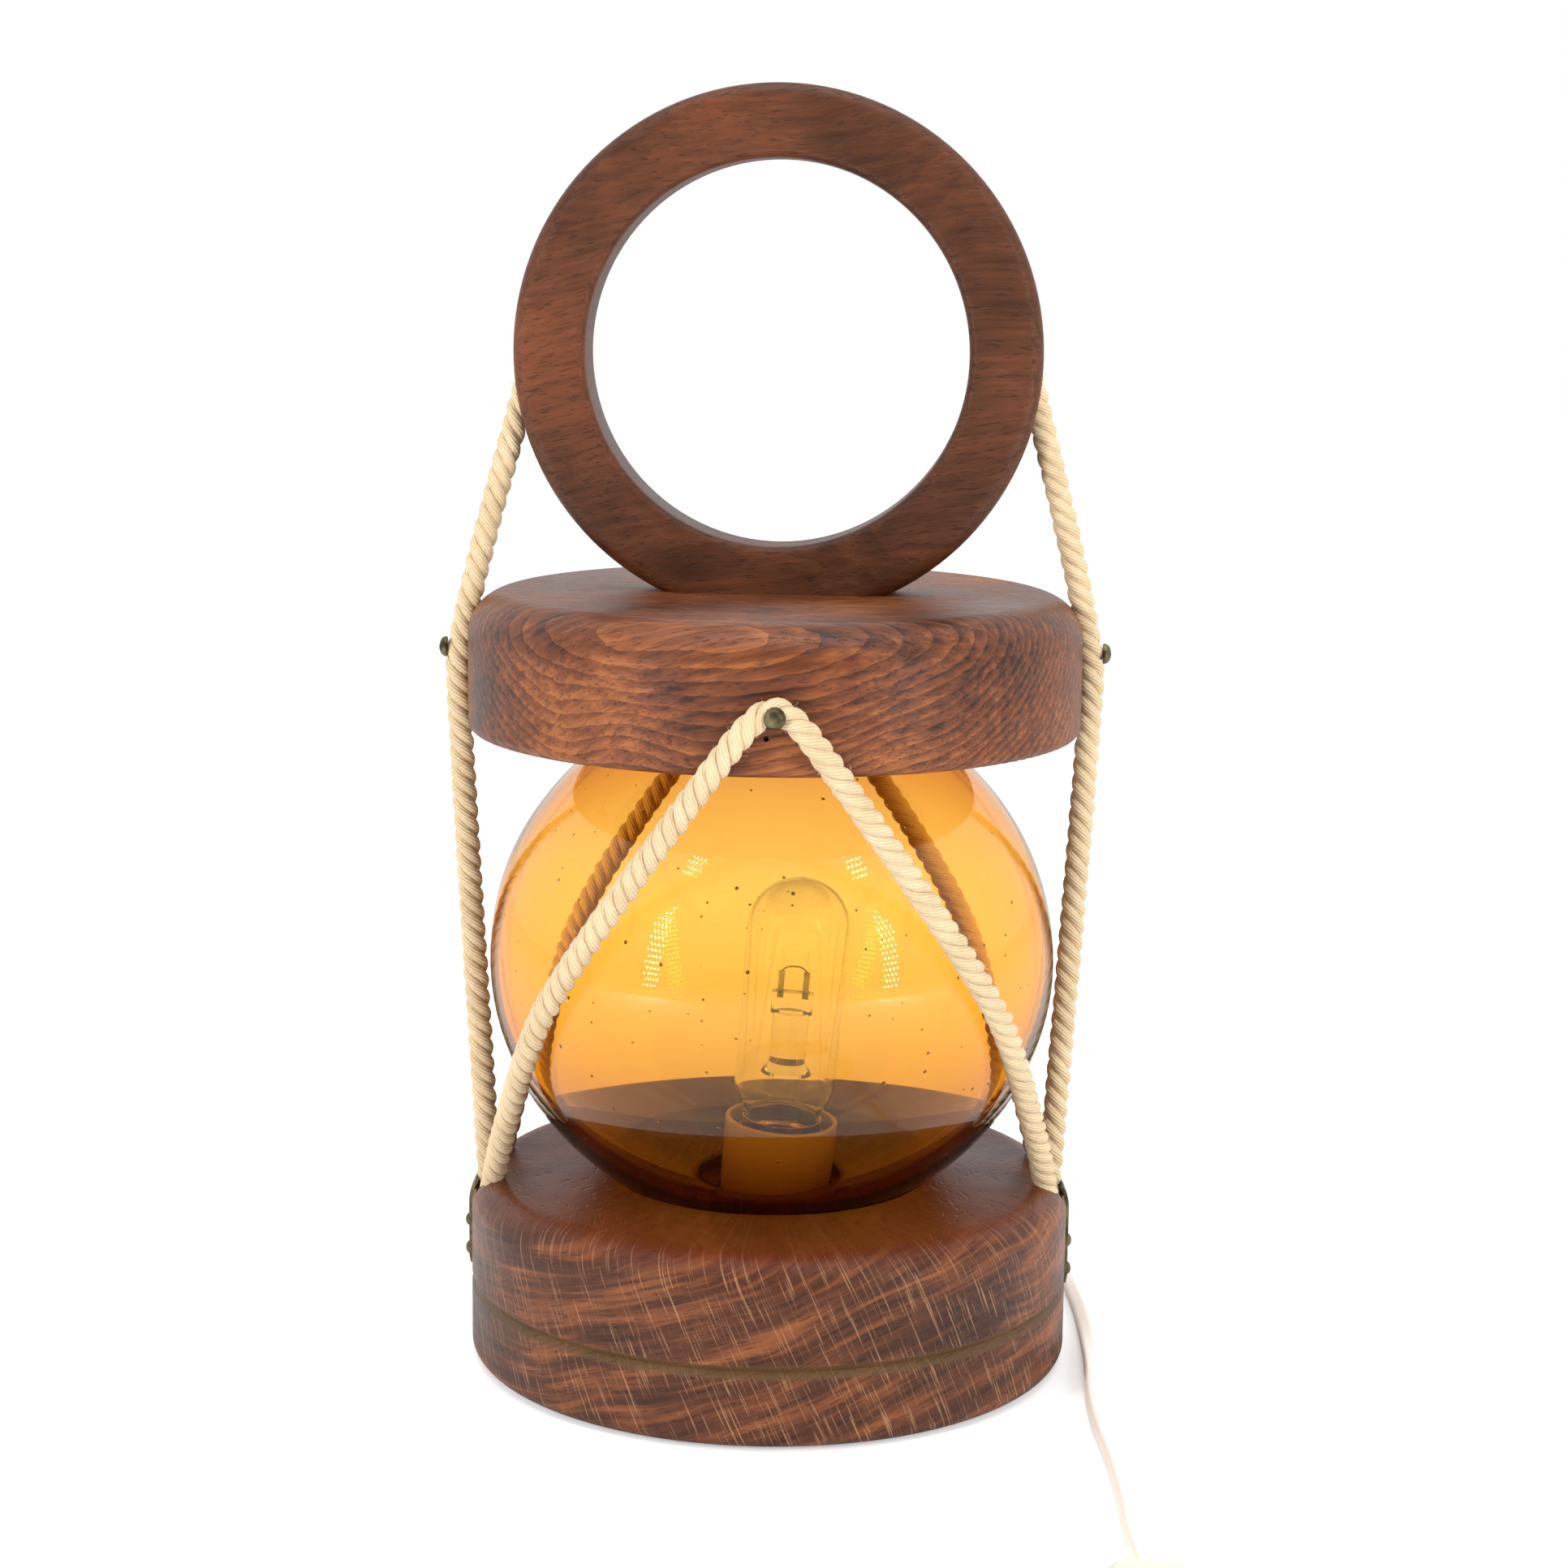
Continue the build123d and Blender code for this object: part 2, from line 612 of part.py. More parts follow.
def bulb_glass():
    """A tubular envelope with a domed top, sealed into the cap."""
    neck, neck_top, full = BULB_CAP_R - 0.5, CAP_TOP + 1.5, CAP_TOP + 12.0
    dome_z = BULB_TOP - BULB_R
    low = CAP_TOP - 5.0

    def outline(shrink, bottom):
        narrow, wide = neck - shrink, BULB_R - shrink
        rise = Polyline((0, bottom), (narrow, bottom), (narrow, neck_top))
        flare = Spline((narrow, neck_top), (wide, full), tangents=((0.2, 1), (0, 1)))
        side = Line((wide, full), (wide, dome_z))
        top = CenterArc((0, dome_z), wide, 0, 90)
        axis = Line((0, dome_z + wide), (0, bottom))
        return make_face([rise, flare, side, top, axis])

    body = revolve(Plane.XZ * outline(0, low), Axis.Z)
    return leaning(body - revolve(Plane.XZ * outline(BULB_WALL, low - 1), Axis.Z))


def bulb_stem():
    """The glass mount: a flared tube, closed by a flat pinch at its top."""
    flare = turned([(0, STEM_FOOT), (8.6, STEM_FOOT), (6.4, STEM_FOOT + 4), (0, STEM_FOOT + 4)])
    body = flare + upright(6.2, STEM_FOOT + 3, PINCH_LOW + 0.5)
    pinch = Box(14, 5, PINCH_TOP - PINCH_LOW, align=ON_FLOOR)
    pinch = Pos(0, 0, PINCH_LOW) * pinch
    body += fillet(pinch.edges().filter_by(Axis.Z), 1.5)
    for x in (-LEAD_X, LEAD_X):
        body -= Pos(x, 0, PINCH_TOP) * Box(2.2, 1.4, 4)
    return leaning(body)


def bulb_leads():
    """Two flat lead posts that stand in the pinch."""
    post = Box(2.0, 1.2, 9.0, align=ON_FLOOR)
    return leaning(Compound(children=[Pos(x, 0, PINCH_TOP - 1.9) * post for x in (-LEAD_X, LEAD_X)]))


def bulb_filament():
    """The coiled wire between the two posts."""
    top = PINCH_TOP + 7.3
    crest = [(-LEAD_X * 0.5, 0, top + 1.6), (LEAD_X * 0.5, 0, top + 1.6)]
    points = [(-LEAD_X, 0, top), *crest, (LEAD_X, 0, top)]
    return leaning(tube_along("bulb_filament", points, 0.25))


# ------------------------------------------------------------ wiring in the base
def cord_way(distance, z=CORD_Z):
    a = math.radians(CORD_ANGLE)
    return Vector(distance * math.cos(a), distance * math.sin(a), z)


def grip_place():
    """The cord grip's place under the cavity's roof, across the cord."""
    at = cord_way(GRIP_FROM_AXIS, CAVITY_H)
    return Pos(at.X, at.Y, at.Z) * Rot(0, 0, CORD_ANGLE - 90)


def cord_grip():
    low = CORD_Z - CORD_R - 2 - CAVITY_H
    block = Pos(0, 0, low) * Box(GRIP_W, GRIP_L, -low - 0.05, align=ON_FLOOR)
    block = fillet(block.edges().filter_by(Axis.Z), 1.5)
    block -= Pos(0, 0, CORD_Z - CAVITY_H) * Rot(90, 0, 0) * Cylinder(CORD_R, GRIP_L + 2)
    for x in GRIP_SCREW_X:
        block -= Pos(x, 0, 0) * upright(GRIP_SCREW_R + NAIL_HOLE_GAP, low - 1, 1)
    return grip_place() * block


def grip_screws():
    low = CORD_Z - CORD_R - 2 - CAVITY_H
    screws = []
    for x in GRIP_SCREW_X:
        head = dome(2.6, 1.6)
        head = Pos(0, 0, low) * Rot(180, 0, 0) * head
        screws.append(grip_place() * (Pos(x, 0, 0) * (head + upright(GRIP_SCREW_R, low - 0.2, 9))))
    return Compound(children=screws)


def cord_relief():
    """A tapered rubber sleeve: stem in the wood, flange outside, then the taper."""
    tip = RELIEF_FLANGE_T + RELIEF_LENGTH
    body = turned(
        [
            (0, -RELIEF_STEM), (CORD_HOLE_R - 0.1, -RELIEF_STEM), (CORD_HOLE_R - 0.1, 0.05),
            (RELIEF_FLANGE_R, 0.05), (RELIEF_FLANGE_R, RELIEF_FLANGE_T), (CORD_R + 2.2, RELIEF_FLANGE_T),
            (CORD_R + 0.9, tip), (0, tip),
        ]
    )
    body -= upright(CORD_R, -RELIEF_STEM - 1, tip + 1)
    return outward(CORD_ANGLE, BASE_R + 0.5, CORD_Z) * body


def cord_tail():
    """The jacketed cord from the relief's tip through the wood to the cavity."""
    start = outward(CORD_ANGLE, RELIEF_TIP, CORD_Z)
    return shank(start, CORD_R, RELIEF_TIP - CORD_TAIL_END)


def inner_wire(side):
    """One insulated wire, from the cord's end up through the nipple."""
    a = math.radians(CORD_ANGLE)
    across = Vector(math.sin(a), -math.cos(a), 0) * (side * 1.25)
    start = cord_way(CORD_TAIL_END - 0.2) + across
    lean = math.tan(math.radians(LAMP_LEAN))
    bottom = Vector(side * 1.5 + (CORD_Z - LEAN_Z) * lean, 0, CORD_Z)
    top_z = HOLDER_Z + 1.5
    top = Vector(side * 1.5 + (top_z - LEAN_Z) * lean, 0, top_z)
    name = "wire_live" if side > 0 else "wire_neutral"
    return tube_along(name, [start, bottom, top], WIRE_R, [5.0])


# ------------------------------------------------------------ mains cord
# From the relief's tip behind the base, down to the floor, round the right
# side and forwards to the in-line switch.
CORD_LEAD_ROUTE = [
    cord_way(RELIEF_TIP + 0.1),
    (46.9, 128.9, 11.8),
    (54.3, 138.2, 10.6),
    (64.6, 143.8, 8.8),
    (76.3, 145.2, 6.8),
    (87.8, 142.0, 5.0),
    (97.2, 134.6, 3.6),
    (103.4, 123.4, 2.8),
    (106.4, 106.4, 2.65),
    (107.3, 82.0, 2.65),
    (107.2, 57.0, 2.65),
    (108.6, 31.0, 2.65),
    (108.4, 4.0, 2.65),
    (106.4, -24.0, 2.65),
    (103.2, -54.0, 2.65),
    (102.8, -82.0, 2.65),
    (104.4, -108.0, 2.65),
    (104.6, -138.0, 2.65),
    (103.6, -164.0, 2.9),
    (103.8, -186.0, 5.0),
    (104.0, -204.0, 6.0),
]

# From the switch to the coil, and from the coil to the plug.
CORD_TO_COIL_ROUTE = [
    (104.0, -264.0, 6.0),
    (104.2, -280.0, 5.2),
    (104.1, -298.0, 3.1),
    (103.5, -318.0, 2.75),
]
CORD_TO_PLUG_ROUTE = [
    (62.0, -361.6, 7.9),
    (53.0, -361.9, 7.6),
    (43.0, -362.0, 7.0),
    PLUG_END,
]


def cord_coil():
    """The outer shape of the coiled cord: about seven turns in two layers."""
    body = tube(COIL_OUTER_R, COIL_INNER_R, 0, COIL_H)
    body = fillet(body.edges().filter_by(GeomType.CIRCLE), CORD_R - 0.2)
    return Pos(COIL_CENTRE[0], COIL_CENTRE[1], 0) * body


# ------------------------------------------------------------ in-line switch
def switch_place():
    return Pos(SWITCH_CENTRE[0], SWITCH_CENTRE[1], 0)


def switch_slab(shrink, low, high):
    outline = RectangleRounded(SWITCH_W - 2 * shrink, SWITCH_L - 2 * shrink, SWITCH_CORNER - shrink)
    return Pos(0, 0, low) * extrude(outline, amount=high - low)


def switch_screw_spots():
    x, y = SWITCH_SCREW_AT
    return [(x, y), (-x, -y)]


def switch_cord_holes():
    return Pos(0, 0, SWITCH_CORD_Z) * Rot(90, 0, 0) * Cylinder(CORD_R, SWITCH_L + 4)


def switch_base():
    body = switch_slab(0, 0, SWITCH_SPLIT)
    body = fillet(body.faces().sort_by(Axis.Z)[0].edges(), 1.2)
    body -= switch_slab(SWITCH_WALL, SWITCH_WALL, SWITCH_SPLIT + 1)
    for x in (-1, 1):
        cheek = Box(1.6, 6, ROCKER_PIVOT_Z + 1.6 - SWITCH_WALL, align=ON_FLOOR)
        body += Pos(x * (ROCKER_W / 2 + 1.2), 0, SWITCH_WALL - 0.3) * cheek
    pin_hole = Rot(0, 90, 0) * Cylinder(ROCKER_PIN_R + 0.02, SWITCH_W - 2 * SWITCH_WALL)
    body -= Pos(0, 0, ROCKER_PIVOT_Z) * pin_hole
    for x, y in switch_screw_spots():
        body += Pos(x, y, 0) * upright(SWITCH_BOSS_R, 0.5, SWITCH_SPLIT)
        body -= Pos(x, y, 0) * (upright(SWITCH_SCREW_HOLE_R, -1, 9) + upright(2.4, -1, 1.8))
    return switch_place() * (body - switch_cord_holes())


def switch_cover():
    body = switch_slab(0, SWITCH_SPLIT + 0.1, SWITCH_H)
    body = fillet(body.faces().sort_by(Axis.Z)[-1].edges(), 3.0)
    body -= switch_slab(SWITCH_WALL, SWITCH_SPLIT - 1, SWITCH_H - SWITCH_WALL)
    body -= Pos(0, 0, SWITCH_H) * Box(ROCKER_W + 0.8, ROCKER_L + 2.6, 3 * SWITCH_WALL)
    for x, y in switch_screw_spots():
        body += Pos(x, y, 0) * upright(SWITCH_BOSS_R, SWITCH_SPLIT + 0.1, SWITCH_H - 1)
        body -= Pos(x, y, 0) * upright(SWITCH_SCREW_HOLE_R, SWITCH_SPLIT - 1, 11.5)
    return switch_place() * (body - switch_cord_holes())


def switch_rocker():
    """A rocker with a shallow V top, resting with its rear end pressed in."""
    half, top = ROCKER_L / 2, SWITCH_H + 2.4
    outline = Polyline(
        (-half, top),
        (0, top - 1.5),
        (half, top),
        (half - 0.6, SWITCH_H - 3.2),
        (4.0, ROCKER_PIVOT_Z - 2.6),
        (-4.0, ROCKER_PIVOT_Z - 2.6),
        (-half + 0.6, SWITCH_H - 3.2),
        close=True,
    )
    body = extrude(Plane.YZ * make_face(outline), amount=ROCKER_W / 2, both=True)
    body -= Pos(0, 0, ROCKER_PIVOT_Z) * Rot(0, 90, 0) * Cylinder(ROCKER_PIN_R + 0.05, 2 * ROCKER_W)
    tilt = Pos(0, 0, ROCKER_PIVOT_Z) * Rot(-ROCKER_TILT, 0, 0) * Pos(0, 0, -ROCKER_PIVOT_Z)
    return switch_place() * tilt * body


def rocker_pin():
    pin = Rot(0, 90, 0) * Cylinder(ROCKER_PIN_R, ROCKER_W + 4)
    return switch_place() * Pos(0, 0, ROCKER_PIVOT_Z) * pin


def switch_contacts():
    """Two brass strips on the switch's floor, one each side of the rocker."""
    strips = []
    for y in (-1, 1):
        strip = Box(4, 7, 0.8, align=ON_FLOOR)
        post = Pos(0, -y * 2.5, 0) * upright(1.4, 0.5, 3.2)
        strips.append(switch_place() * Pos(0, y * 13.0, SWITCH_WALL) * (strip + post))
    return Compound(children=strips)


def switch_screws():
    screws = []
    for x, y in switch_screw_spots():
        screw = upright(2.2, 0.2, 1.8) + upright(1.25, 1.7, 11)
        screws.append(switch_place() * Pos(x, y, 0) * screw)
    return Compound(children=screws)


# ------------------------------------------------------------ plug
def plug_place():
    """The plug's own frame: cord end at its origin, pins along its +X."""
    return Pos(*PLUG_END) * Rot(0, 0, 180)


def plug_body():
    half = PLUG_W / 2
    outline = Polyline(
        (PLUG_NECK, -7.5),
        (PLUG_NECK + 10, -half + 3),
        (PLUG_NECK + PLUG_L, -half),
        (PLUG_NECK + PLUG_L, half),
        (PLUG_NECK + 10, half - 3),
        (PLUG_NECK, 7.5),
        close=True,
    )
    body = extrude(make_face(outline), amount=PLUG_T / 2, both=True)
    body = fillet(body.edges().filter_by(Axis.Z), 2.5)
    body = fillet(body.faces().sort_by(Axis.Z)[-1].edges(), 2.0)
    body = fillet(body.faces().sort_by(Axis.Z)[0].edges(), 2.0)
    neck = turned([(0, 0), (CORD_R + 1.0, 0), (CORD_R + 2.6, PLUG_NECK + 2), (0, PLUG_NECK + 2)])
    body += Rot(0, 90, 0) * neck
    for y in (-1, 1):
        body -= Pos(PLUG_NECK + PLUG_L, y * PIN_PITCH / 2, 0) * Rot(0, 90, 0) * Cylinder(PIN_R, 2 * 8)
    return plug_place() * body


def plug_pins():
    pins = []
    start = PLUG_NECK + PLUG_L - 7.9
    for y in (-1, 1):
        pin = Cylinder(PIN_R, PIN_L + 7.9, align=ON_FLOOR)
        pin = fillet(pin.edges().sort_by(Axis.Z)[-1], PIN_R * 0.8)
        pins.append(plug_place() * Pos(start, y * PIN_PITCH / 2, 0) * Rot(0, 90, 0) * pin)
    return Compound(children=pins)


# ------------------------------------------------------------ nodes
NODES = {
    "base_block": base_block,
    "base_felt": base_felt,
    "top_disc": top_disc,
    "ring_handle": ring_handle,
    "ring_screws": ring_screws,
    "glass_globe": glass_globe,
    "rope_left": lambda: side_rope("rope_left", -1),
    "rope_right": lambda: side_rope("rope_right", 1),
    "rope_front": lambda: v_rope("rope_front", 0),
    "rope_back": lambda: v_rope("rope_back", 180),
    "disc_nails": disc_nails,
    "strap_left": lambda: strap(180, "left"),
    "strap_right": lambda: strap(0, "right"),
    "strap_nails": strap_nails,
    "holder_cap": holder_cap,
    "holder_shell": holder_shell,
    "holder_core": holder_core,
    "holder_thread": holder_thread,
    "holder_contact": holder_contact,
    "holder_nipple": holder_nipple,
    "nipple_washer": nipple_washer,
    "nipple_nut": nipple_nut,
    "bulb_contact": bulb_contact,
    "bulb_insulator": bulb_insulator,
    "bulb_cap": bulb_cap,
    "bulb_glass": bulb_glass,
    "bulb_stem": bulb_stem,
    "bulb_leads": bulb_leads,
    "bulb_filament": bulb_filament,
    "cord_relief": cord_relief,
    "cord_tail": cord_tail,
    "cord_grip": cord_grip,
    "grip_screws": grip_screws,
    "wire_live": lambda: inner_wire(1),
    "wire_neutral": lambda: inner_wire(-1),
    "cord_lead": lambda: tube_along("cord_lead", CORD_LEAD_ROUTE, CORD_R),
    "cord_to_coil": lambda: tube_along("cord_to_coil", CORD_TO_COIL_ROUTE, CORD_R),
    "cord_coil": cord_coil,
    "cord_to_plug": lambda: tube_along("cord_to_plug", CORD_TO_PLUG_ROUTE, CORD_R),
    "switch_base": switch_base,
    "switch_cover": switch_cover,
    "switch_rocker": switch_rocker,
    "rocker_pin": rocker_pin,
    "switch_contacts": switch_contacts,
    "switch_screws": switch_screws,
    "plug_body": plug_body,
    "plug_pins": plug_pins,
}

for node, make in NODES.items():
    save(node, make())
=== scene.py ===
# %% [markdown]
# # A ship lantern in rope, wood and amber glass
# The CAD model is the fixed frame: it says how big each piece is and where it
# sits.  This script gives those pieces their real surfaces.  It makes laid
# rope out of smooth rods, blown glass out of a plain shell, hammered nails
# out of domes, and it stains the wood.  Everything is in metres, with +Z up
# and the lantern's front facing -Y.
# %% Load the frame
import math

import bmesh
import bpy
import numpy as np
from mathutils import Matrix, Vector


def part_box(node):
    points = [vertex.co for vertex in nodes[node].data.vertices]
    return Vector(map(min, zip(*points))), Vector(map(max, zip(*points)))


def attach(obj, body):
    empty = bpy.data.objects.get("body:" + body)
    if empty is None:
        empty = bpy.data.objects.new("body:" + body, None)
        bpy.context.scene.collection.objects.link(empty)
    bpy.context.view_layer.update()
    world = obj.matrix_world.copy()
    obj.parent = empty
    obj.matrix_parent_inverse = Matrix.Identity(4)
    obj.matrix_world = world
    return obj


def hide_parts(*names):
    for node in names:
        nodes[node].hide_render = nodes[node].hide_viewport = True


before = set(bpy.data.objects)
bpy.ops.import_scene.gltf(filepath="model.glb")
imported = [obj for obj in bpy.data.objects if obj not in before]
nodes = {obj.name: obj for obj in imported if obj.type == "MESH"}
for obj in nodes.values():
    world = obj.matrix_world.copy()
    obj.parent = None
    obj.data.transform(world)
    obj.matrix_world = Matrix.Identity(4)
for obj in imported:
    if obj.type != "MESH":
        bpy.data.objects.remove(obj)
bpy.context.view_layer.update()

# %% [markdown]
# Four small helpers carry the whole script.  A colour is written as the sRGB
# hex value that a paint chart would give, and Blender wants linear light, so
# one function converts it.  One function adds a shader or geometry node with
# its settings and its links, one starts a material, and one turns lists of
# points and faces into a mesh object.
# %% Helpers


def colour(text):
    """sRGB hex to the linear colour that Blender's sockets take."""
    parts = [int(text[i:i + 2], 16) / 255 for i in (1, 3, 5)]
    linear = [p / 12.92 if p <= 0.04045 else ((p + 0.055) / 1.055) ** 2.4 for p in parts]
    return (*linear, 1.0)


def add(tree, kind, inputs=None, **settings):
    """A new node: settings are its own options, inputs are values, sockets or nodes.

    A node given as an input stands for its first output.
    """
    node = tree.nodes.new(kind)
    for name, value in settings.items():
        setattr(node, name, value)
    for name, value in (inputs or {}).items():
        if isinstance(value, bpy.types.Node):
            value = value.outputs[0]
        if isinstance(value, bpy.types.NodeSocket):
            tree.links.new(value, node.inputs[name])
        else:
            node.inputs[name].default_value = value
    return node


def material(name):
    """An empty material, its tree, and the output node to link to."""
    made = bpy.data.materials.new(name)
    made.use_nodes = True
    made.node_tree.nodes.clear()
    return made, made.node_tree, add(made.node_tree, "ShaderNodeOutputMaterial")


def mesh_object(name, points, faces, smooth=True):
    """A mesh at the origin with its place in its points."""
    data = bpy.data.meshes.new(name)
    data.from_pydata([tuple(p) for p in points], [], faces)
    data.update()
    if smooth:
        data.shade_smooth()
    made = bpy.data.objects.new(name, data)
    bpy.context.scene.collection.objects.link(made)
    return made


# %% [markdown]
# The camera comes first, so that every later look is through the same lens.
# It stands a metre in front, looking nine degrees down at the globe.  A short
# telephoto keeps the base's ellipse flat.  The sensor is moved a hair
# sideways instead of the camera, and a slight roll puts the lantern upright
# the way it stood.
# %% Camera
CAMERA_AT = Vector((0.0, -0.987, 0.3645))
CAMERA_DOWN = math.radians(9.2)
CAMERA_ROLL = math.radians(0.65)

lens = bpy.data.cameras.new("camera")
lens.sensor_width = 36.0
lens.lens = 69.9
lens.shift_x = 0.0062
lens.shift_y = -0.026
lens.clip_end = 30.0
camera = bpy.data.objects.new("camera", lens)
bpy.context.scene.collection.objects.link(camera)
look = Matrix.Rotation(math.pi / 2 - CAMERA_DOWN, 4, "X")
camera.matrix_world = Matrix.Translation(CAMERA_AT) @ look @ Matrix.Rotation(CAMERA_ROLL, 4, "Z")
bpy.context.scene.camera = camera
print("camera", [round(x, 3) for x in camera.location], "lens", lens.lens)

# %% [markdown]
# The room is a white studio: a pale floor, a white surround, and a tall panel
# of diodes at the left and right with a shorter one above it, which leave the
# glints on the glass.  Beside each tall panel a soft strip lights the wood,
# and reflections do not see it.
# A wide panel overhead lays the soft sheen on the ring and the disc.  The
# white surround does most of the work, because glass and satin wood show
# what is around them more than what shines on them.  The surround is dimmer
# behind the camera, as a studio is, so that the front of the wood keeps its
# depth, but it is plain white where it is seen straight or through glass.
# %% Floor and light
scene = bpy.context.scene
scene.view_settings.view_transform = "Standard"
scene.view_settings.look = "None"

surround = bpy.data.worlds.new("white studio")
surround.use_nodes = True
tree = surround.node_tree
tree.nodes.clear()
way = add(tree, "ShaderNodeTexCoord")
parts = add(tree, "ShaderNodeSeparateXYZ", {0: way.outputs["Generated"]})
SHADED_SIDE, LIT_SIDE = 0.30, 0.95
fill = add(tree, "ShaderNodeMapRange", {"Value": parts.outputs["Y"], "From Min": -0.9,
    "From Max": 0.1, "To Min": SHADED_SIDE, "To Max": LIT_SIDE})
ray = add(tree, "ShaderNodeLightPath")
straight = add(tree, "ShaderNodeMath", {0: ray.outputs["Is Camera Ray"],
    1: ray.outputs["Is Transmission Ray"]}, operation="MAXIMUM")
strength = add(tree, "ShaderNodeMix", {"Factor": straight, "A": fill, "B": 1.0})
sky = add(tree, "ShaderNodeBackground", {"Color": colour("#ffffff"), "Strength": strength})
add(tree, "ShaderNodeOutputWorld", {"Surface": sky})
scene.world = surround

paper, tree, out = material("white paper sweep")
ray = add(tree, "ShaderNodeLightPath")
straight = add(tree, "ShaderNodeMath", {0: ray.outputs["Is Camera Ray"],
    1: ray.outputs["Is Transmission Ray"]}, operation="MAXIMUM")
lift = add(tree, "ShaderNodeMath", {0: straight, 1: 0.36}, operation="MULTIPLY")
paper_shader = add(tree, "ShaderNodeBsdfPrincipled", {"Base Color": colour("#f2f2f2"),
    "Roughness": 0.8, "Emission Color": colour("#ffffff"), "Emission Strength": lift})
tree.links.new(paper_shader.outputs[0], out.inputs["Surface"])

FLOOR_HALF = 6.0
corners = [(x * FLOOR_HALF, y * FLOOR_HALF, 0) for x, y in ((-1, -1), (1, -1), (1, 1), (-1, 1))]
floor = mesh_object("studio_floor", corners, [(0, 1, 2, 3)], smooth=False)
floor.data.materials.append(paper)


def soft_light(name, at, aim, wide, high, watts):
    """A rectangular panel at a place, turned to face a point."""
    panel = bpy.data.lights.new(name, "AREA")
    panel.shape = "RECTANGLE"
    panel.size = wide
    panel.size_y = high
    panel.energy = watts
    made = bpy.data.objects.new(name, panel)
    made.location = at
    made.rotation_euler = (Vector(aim) - Vector(at)).to_track_quat("-Z", "Y").to_euler()
    scene.collection.objects.link(made)
    return made


GLOBE_CENTRE = Vector((0, 0, 0.134))
BEAD = 0.022
BEAD_SIDES = 8
BEAD_PITCH = (0.036, 0.052)
HIGH_PANEL = (0.58, -0.60, 1.13)

beads, tree, out = material("lit diodes")
glow = add(tree, "ShaderNodeEmission", {"Color": colour("#fffaf0"), "Strength": 24.0})
tree.links.new(glow.outputs[0], out.inputs["Surface"])


def diode_panel(name, at, aim, columns, rows):
    """The face of a panel: its diodes, in rows that step to and fro.  Only reflections see it."""
    points, faces = [], []
    for row in range(rows):
        for column in range(columns):
            x = (column - (columns - 1) / 2 + 0.5 * (row % 2)) * BEAD_PITCH[0]
            y = (row - (rows - 1) / 2) * BEAD_PITCH[1]
            first = len(points)
            points += [(x + BEAD / 2 * math.cos(a), y + BEAD / 2 * math.sin(a),
                0) for a in [math.tau * k / BEAD_SIDES for k in range(BEAD_SIDES)]]
            faces.append(tuple(range(first, first + BEAD_SIDES)))
    face = mesh_object(name, points, faces, smooth=False)
    face.location = at
    face.rotation_euler = (Vector(aim) - Vector(at)).to_track_quat("-Z", "Y").to_euler()
    face.data.materials.append(beads)
    face.visible_camera = face.visible_diffuse = face.visible_shadow = False


for side, name in ((-1, "left"), (1, "right")):
    spot = (side * 0.92, -0.86, 0.46)
    strip = soft_light("strip " + name, spot, GLOBE_CENTRE, 0.20, 0.80, 10)
    strip.visible_glossy = strip.visible_transmission = False
    diode_panel("diodes " + name, spot, GLOBE_CENTRE, 4, 15)
    diode_panel("high diodes " + name, (side * HIGH_PANEL[0], *HIGH_PANEL[1:]), GLOBE_CENTRE, 4, 8)
soft_light("overhead", (0.0, -0.2, 1.9), (0, 0, 0.3), 1.4, 1.0, 9)

# %% [markdown]
# The ropes and the mains cord follow lines, so the lines come next.  A NURBS
# curve is pulled towards its control points without touching them, which is
# how something flexible lies.  Blender turns the curve into a chain of
# points, and a small function spaces those evenly, so that the twist of a
# rope keeps the same pitch all the way along.
# %% Smooth routes


def smooth_route(name, points, fineness=24):
    """The points along a NURBS curve of order 3 through a list of control points, in mm."""
    data = bpy.data.curves.new(name, "CURVE")
    data.dimensions = "3D"
    data.resolution_u = fineness
    line = data.splines.new("NURBS")
    line.points.add(len(points) - 1)
    for point, place in zip(line.points, points):
        point.co = (place[0] / 1000, place[1] / 1000, place[2] / 1000, 1)
    line.order_u = 3
    line.use_endpoint_u = True
    guide = bpy.data.objects.new(name, data)
    scene.collection.objects.link(guide)
    bpy.context.view_layer.update()
    traced = bpy.data.meshes.new_from_object(guide)
    found = np.array([v.co[:] for v in traced.vertices])
    bpy.data.objects.remove(guide)
    bpy.data.curves.remove(data)
    bpy.data.meshes.remove(traced)
    return found


def evenly(points, step):
    """The same line with its points a fixed distance apart."""
    points = np.asarray(points)
    along = np.concatenate([[0], np.cumsum(np.linalg.norm(np.diff(points, axis=0), axis=1))])
    count = max(2, int(round(along[-1] / step)) + 1)
    wanted = np.linspace(0, along[-1], count)
    return np.stack([np.interp(wanted, along, points[:, i]) for i in range(3)], axis=1)


def length_of(points):
    return float(np.linalg.norm(np.diff(points, axis=0), axis=1).sum())


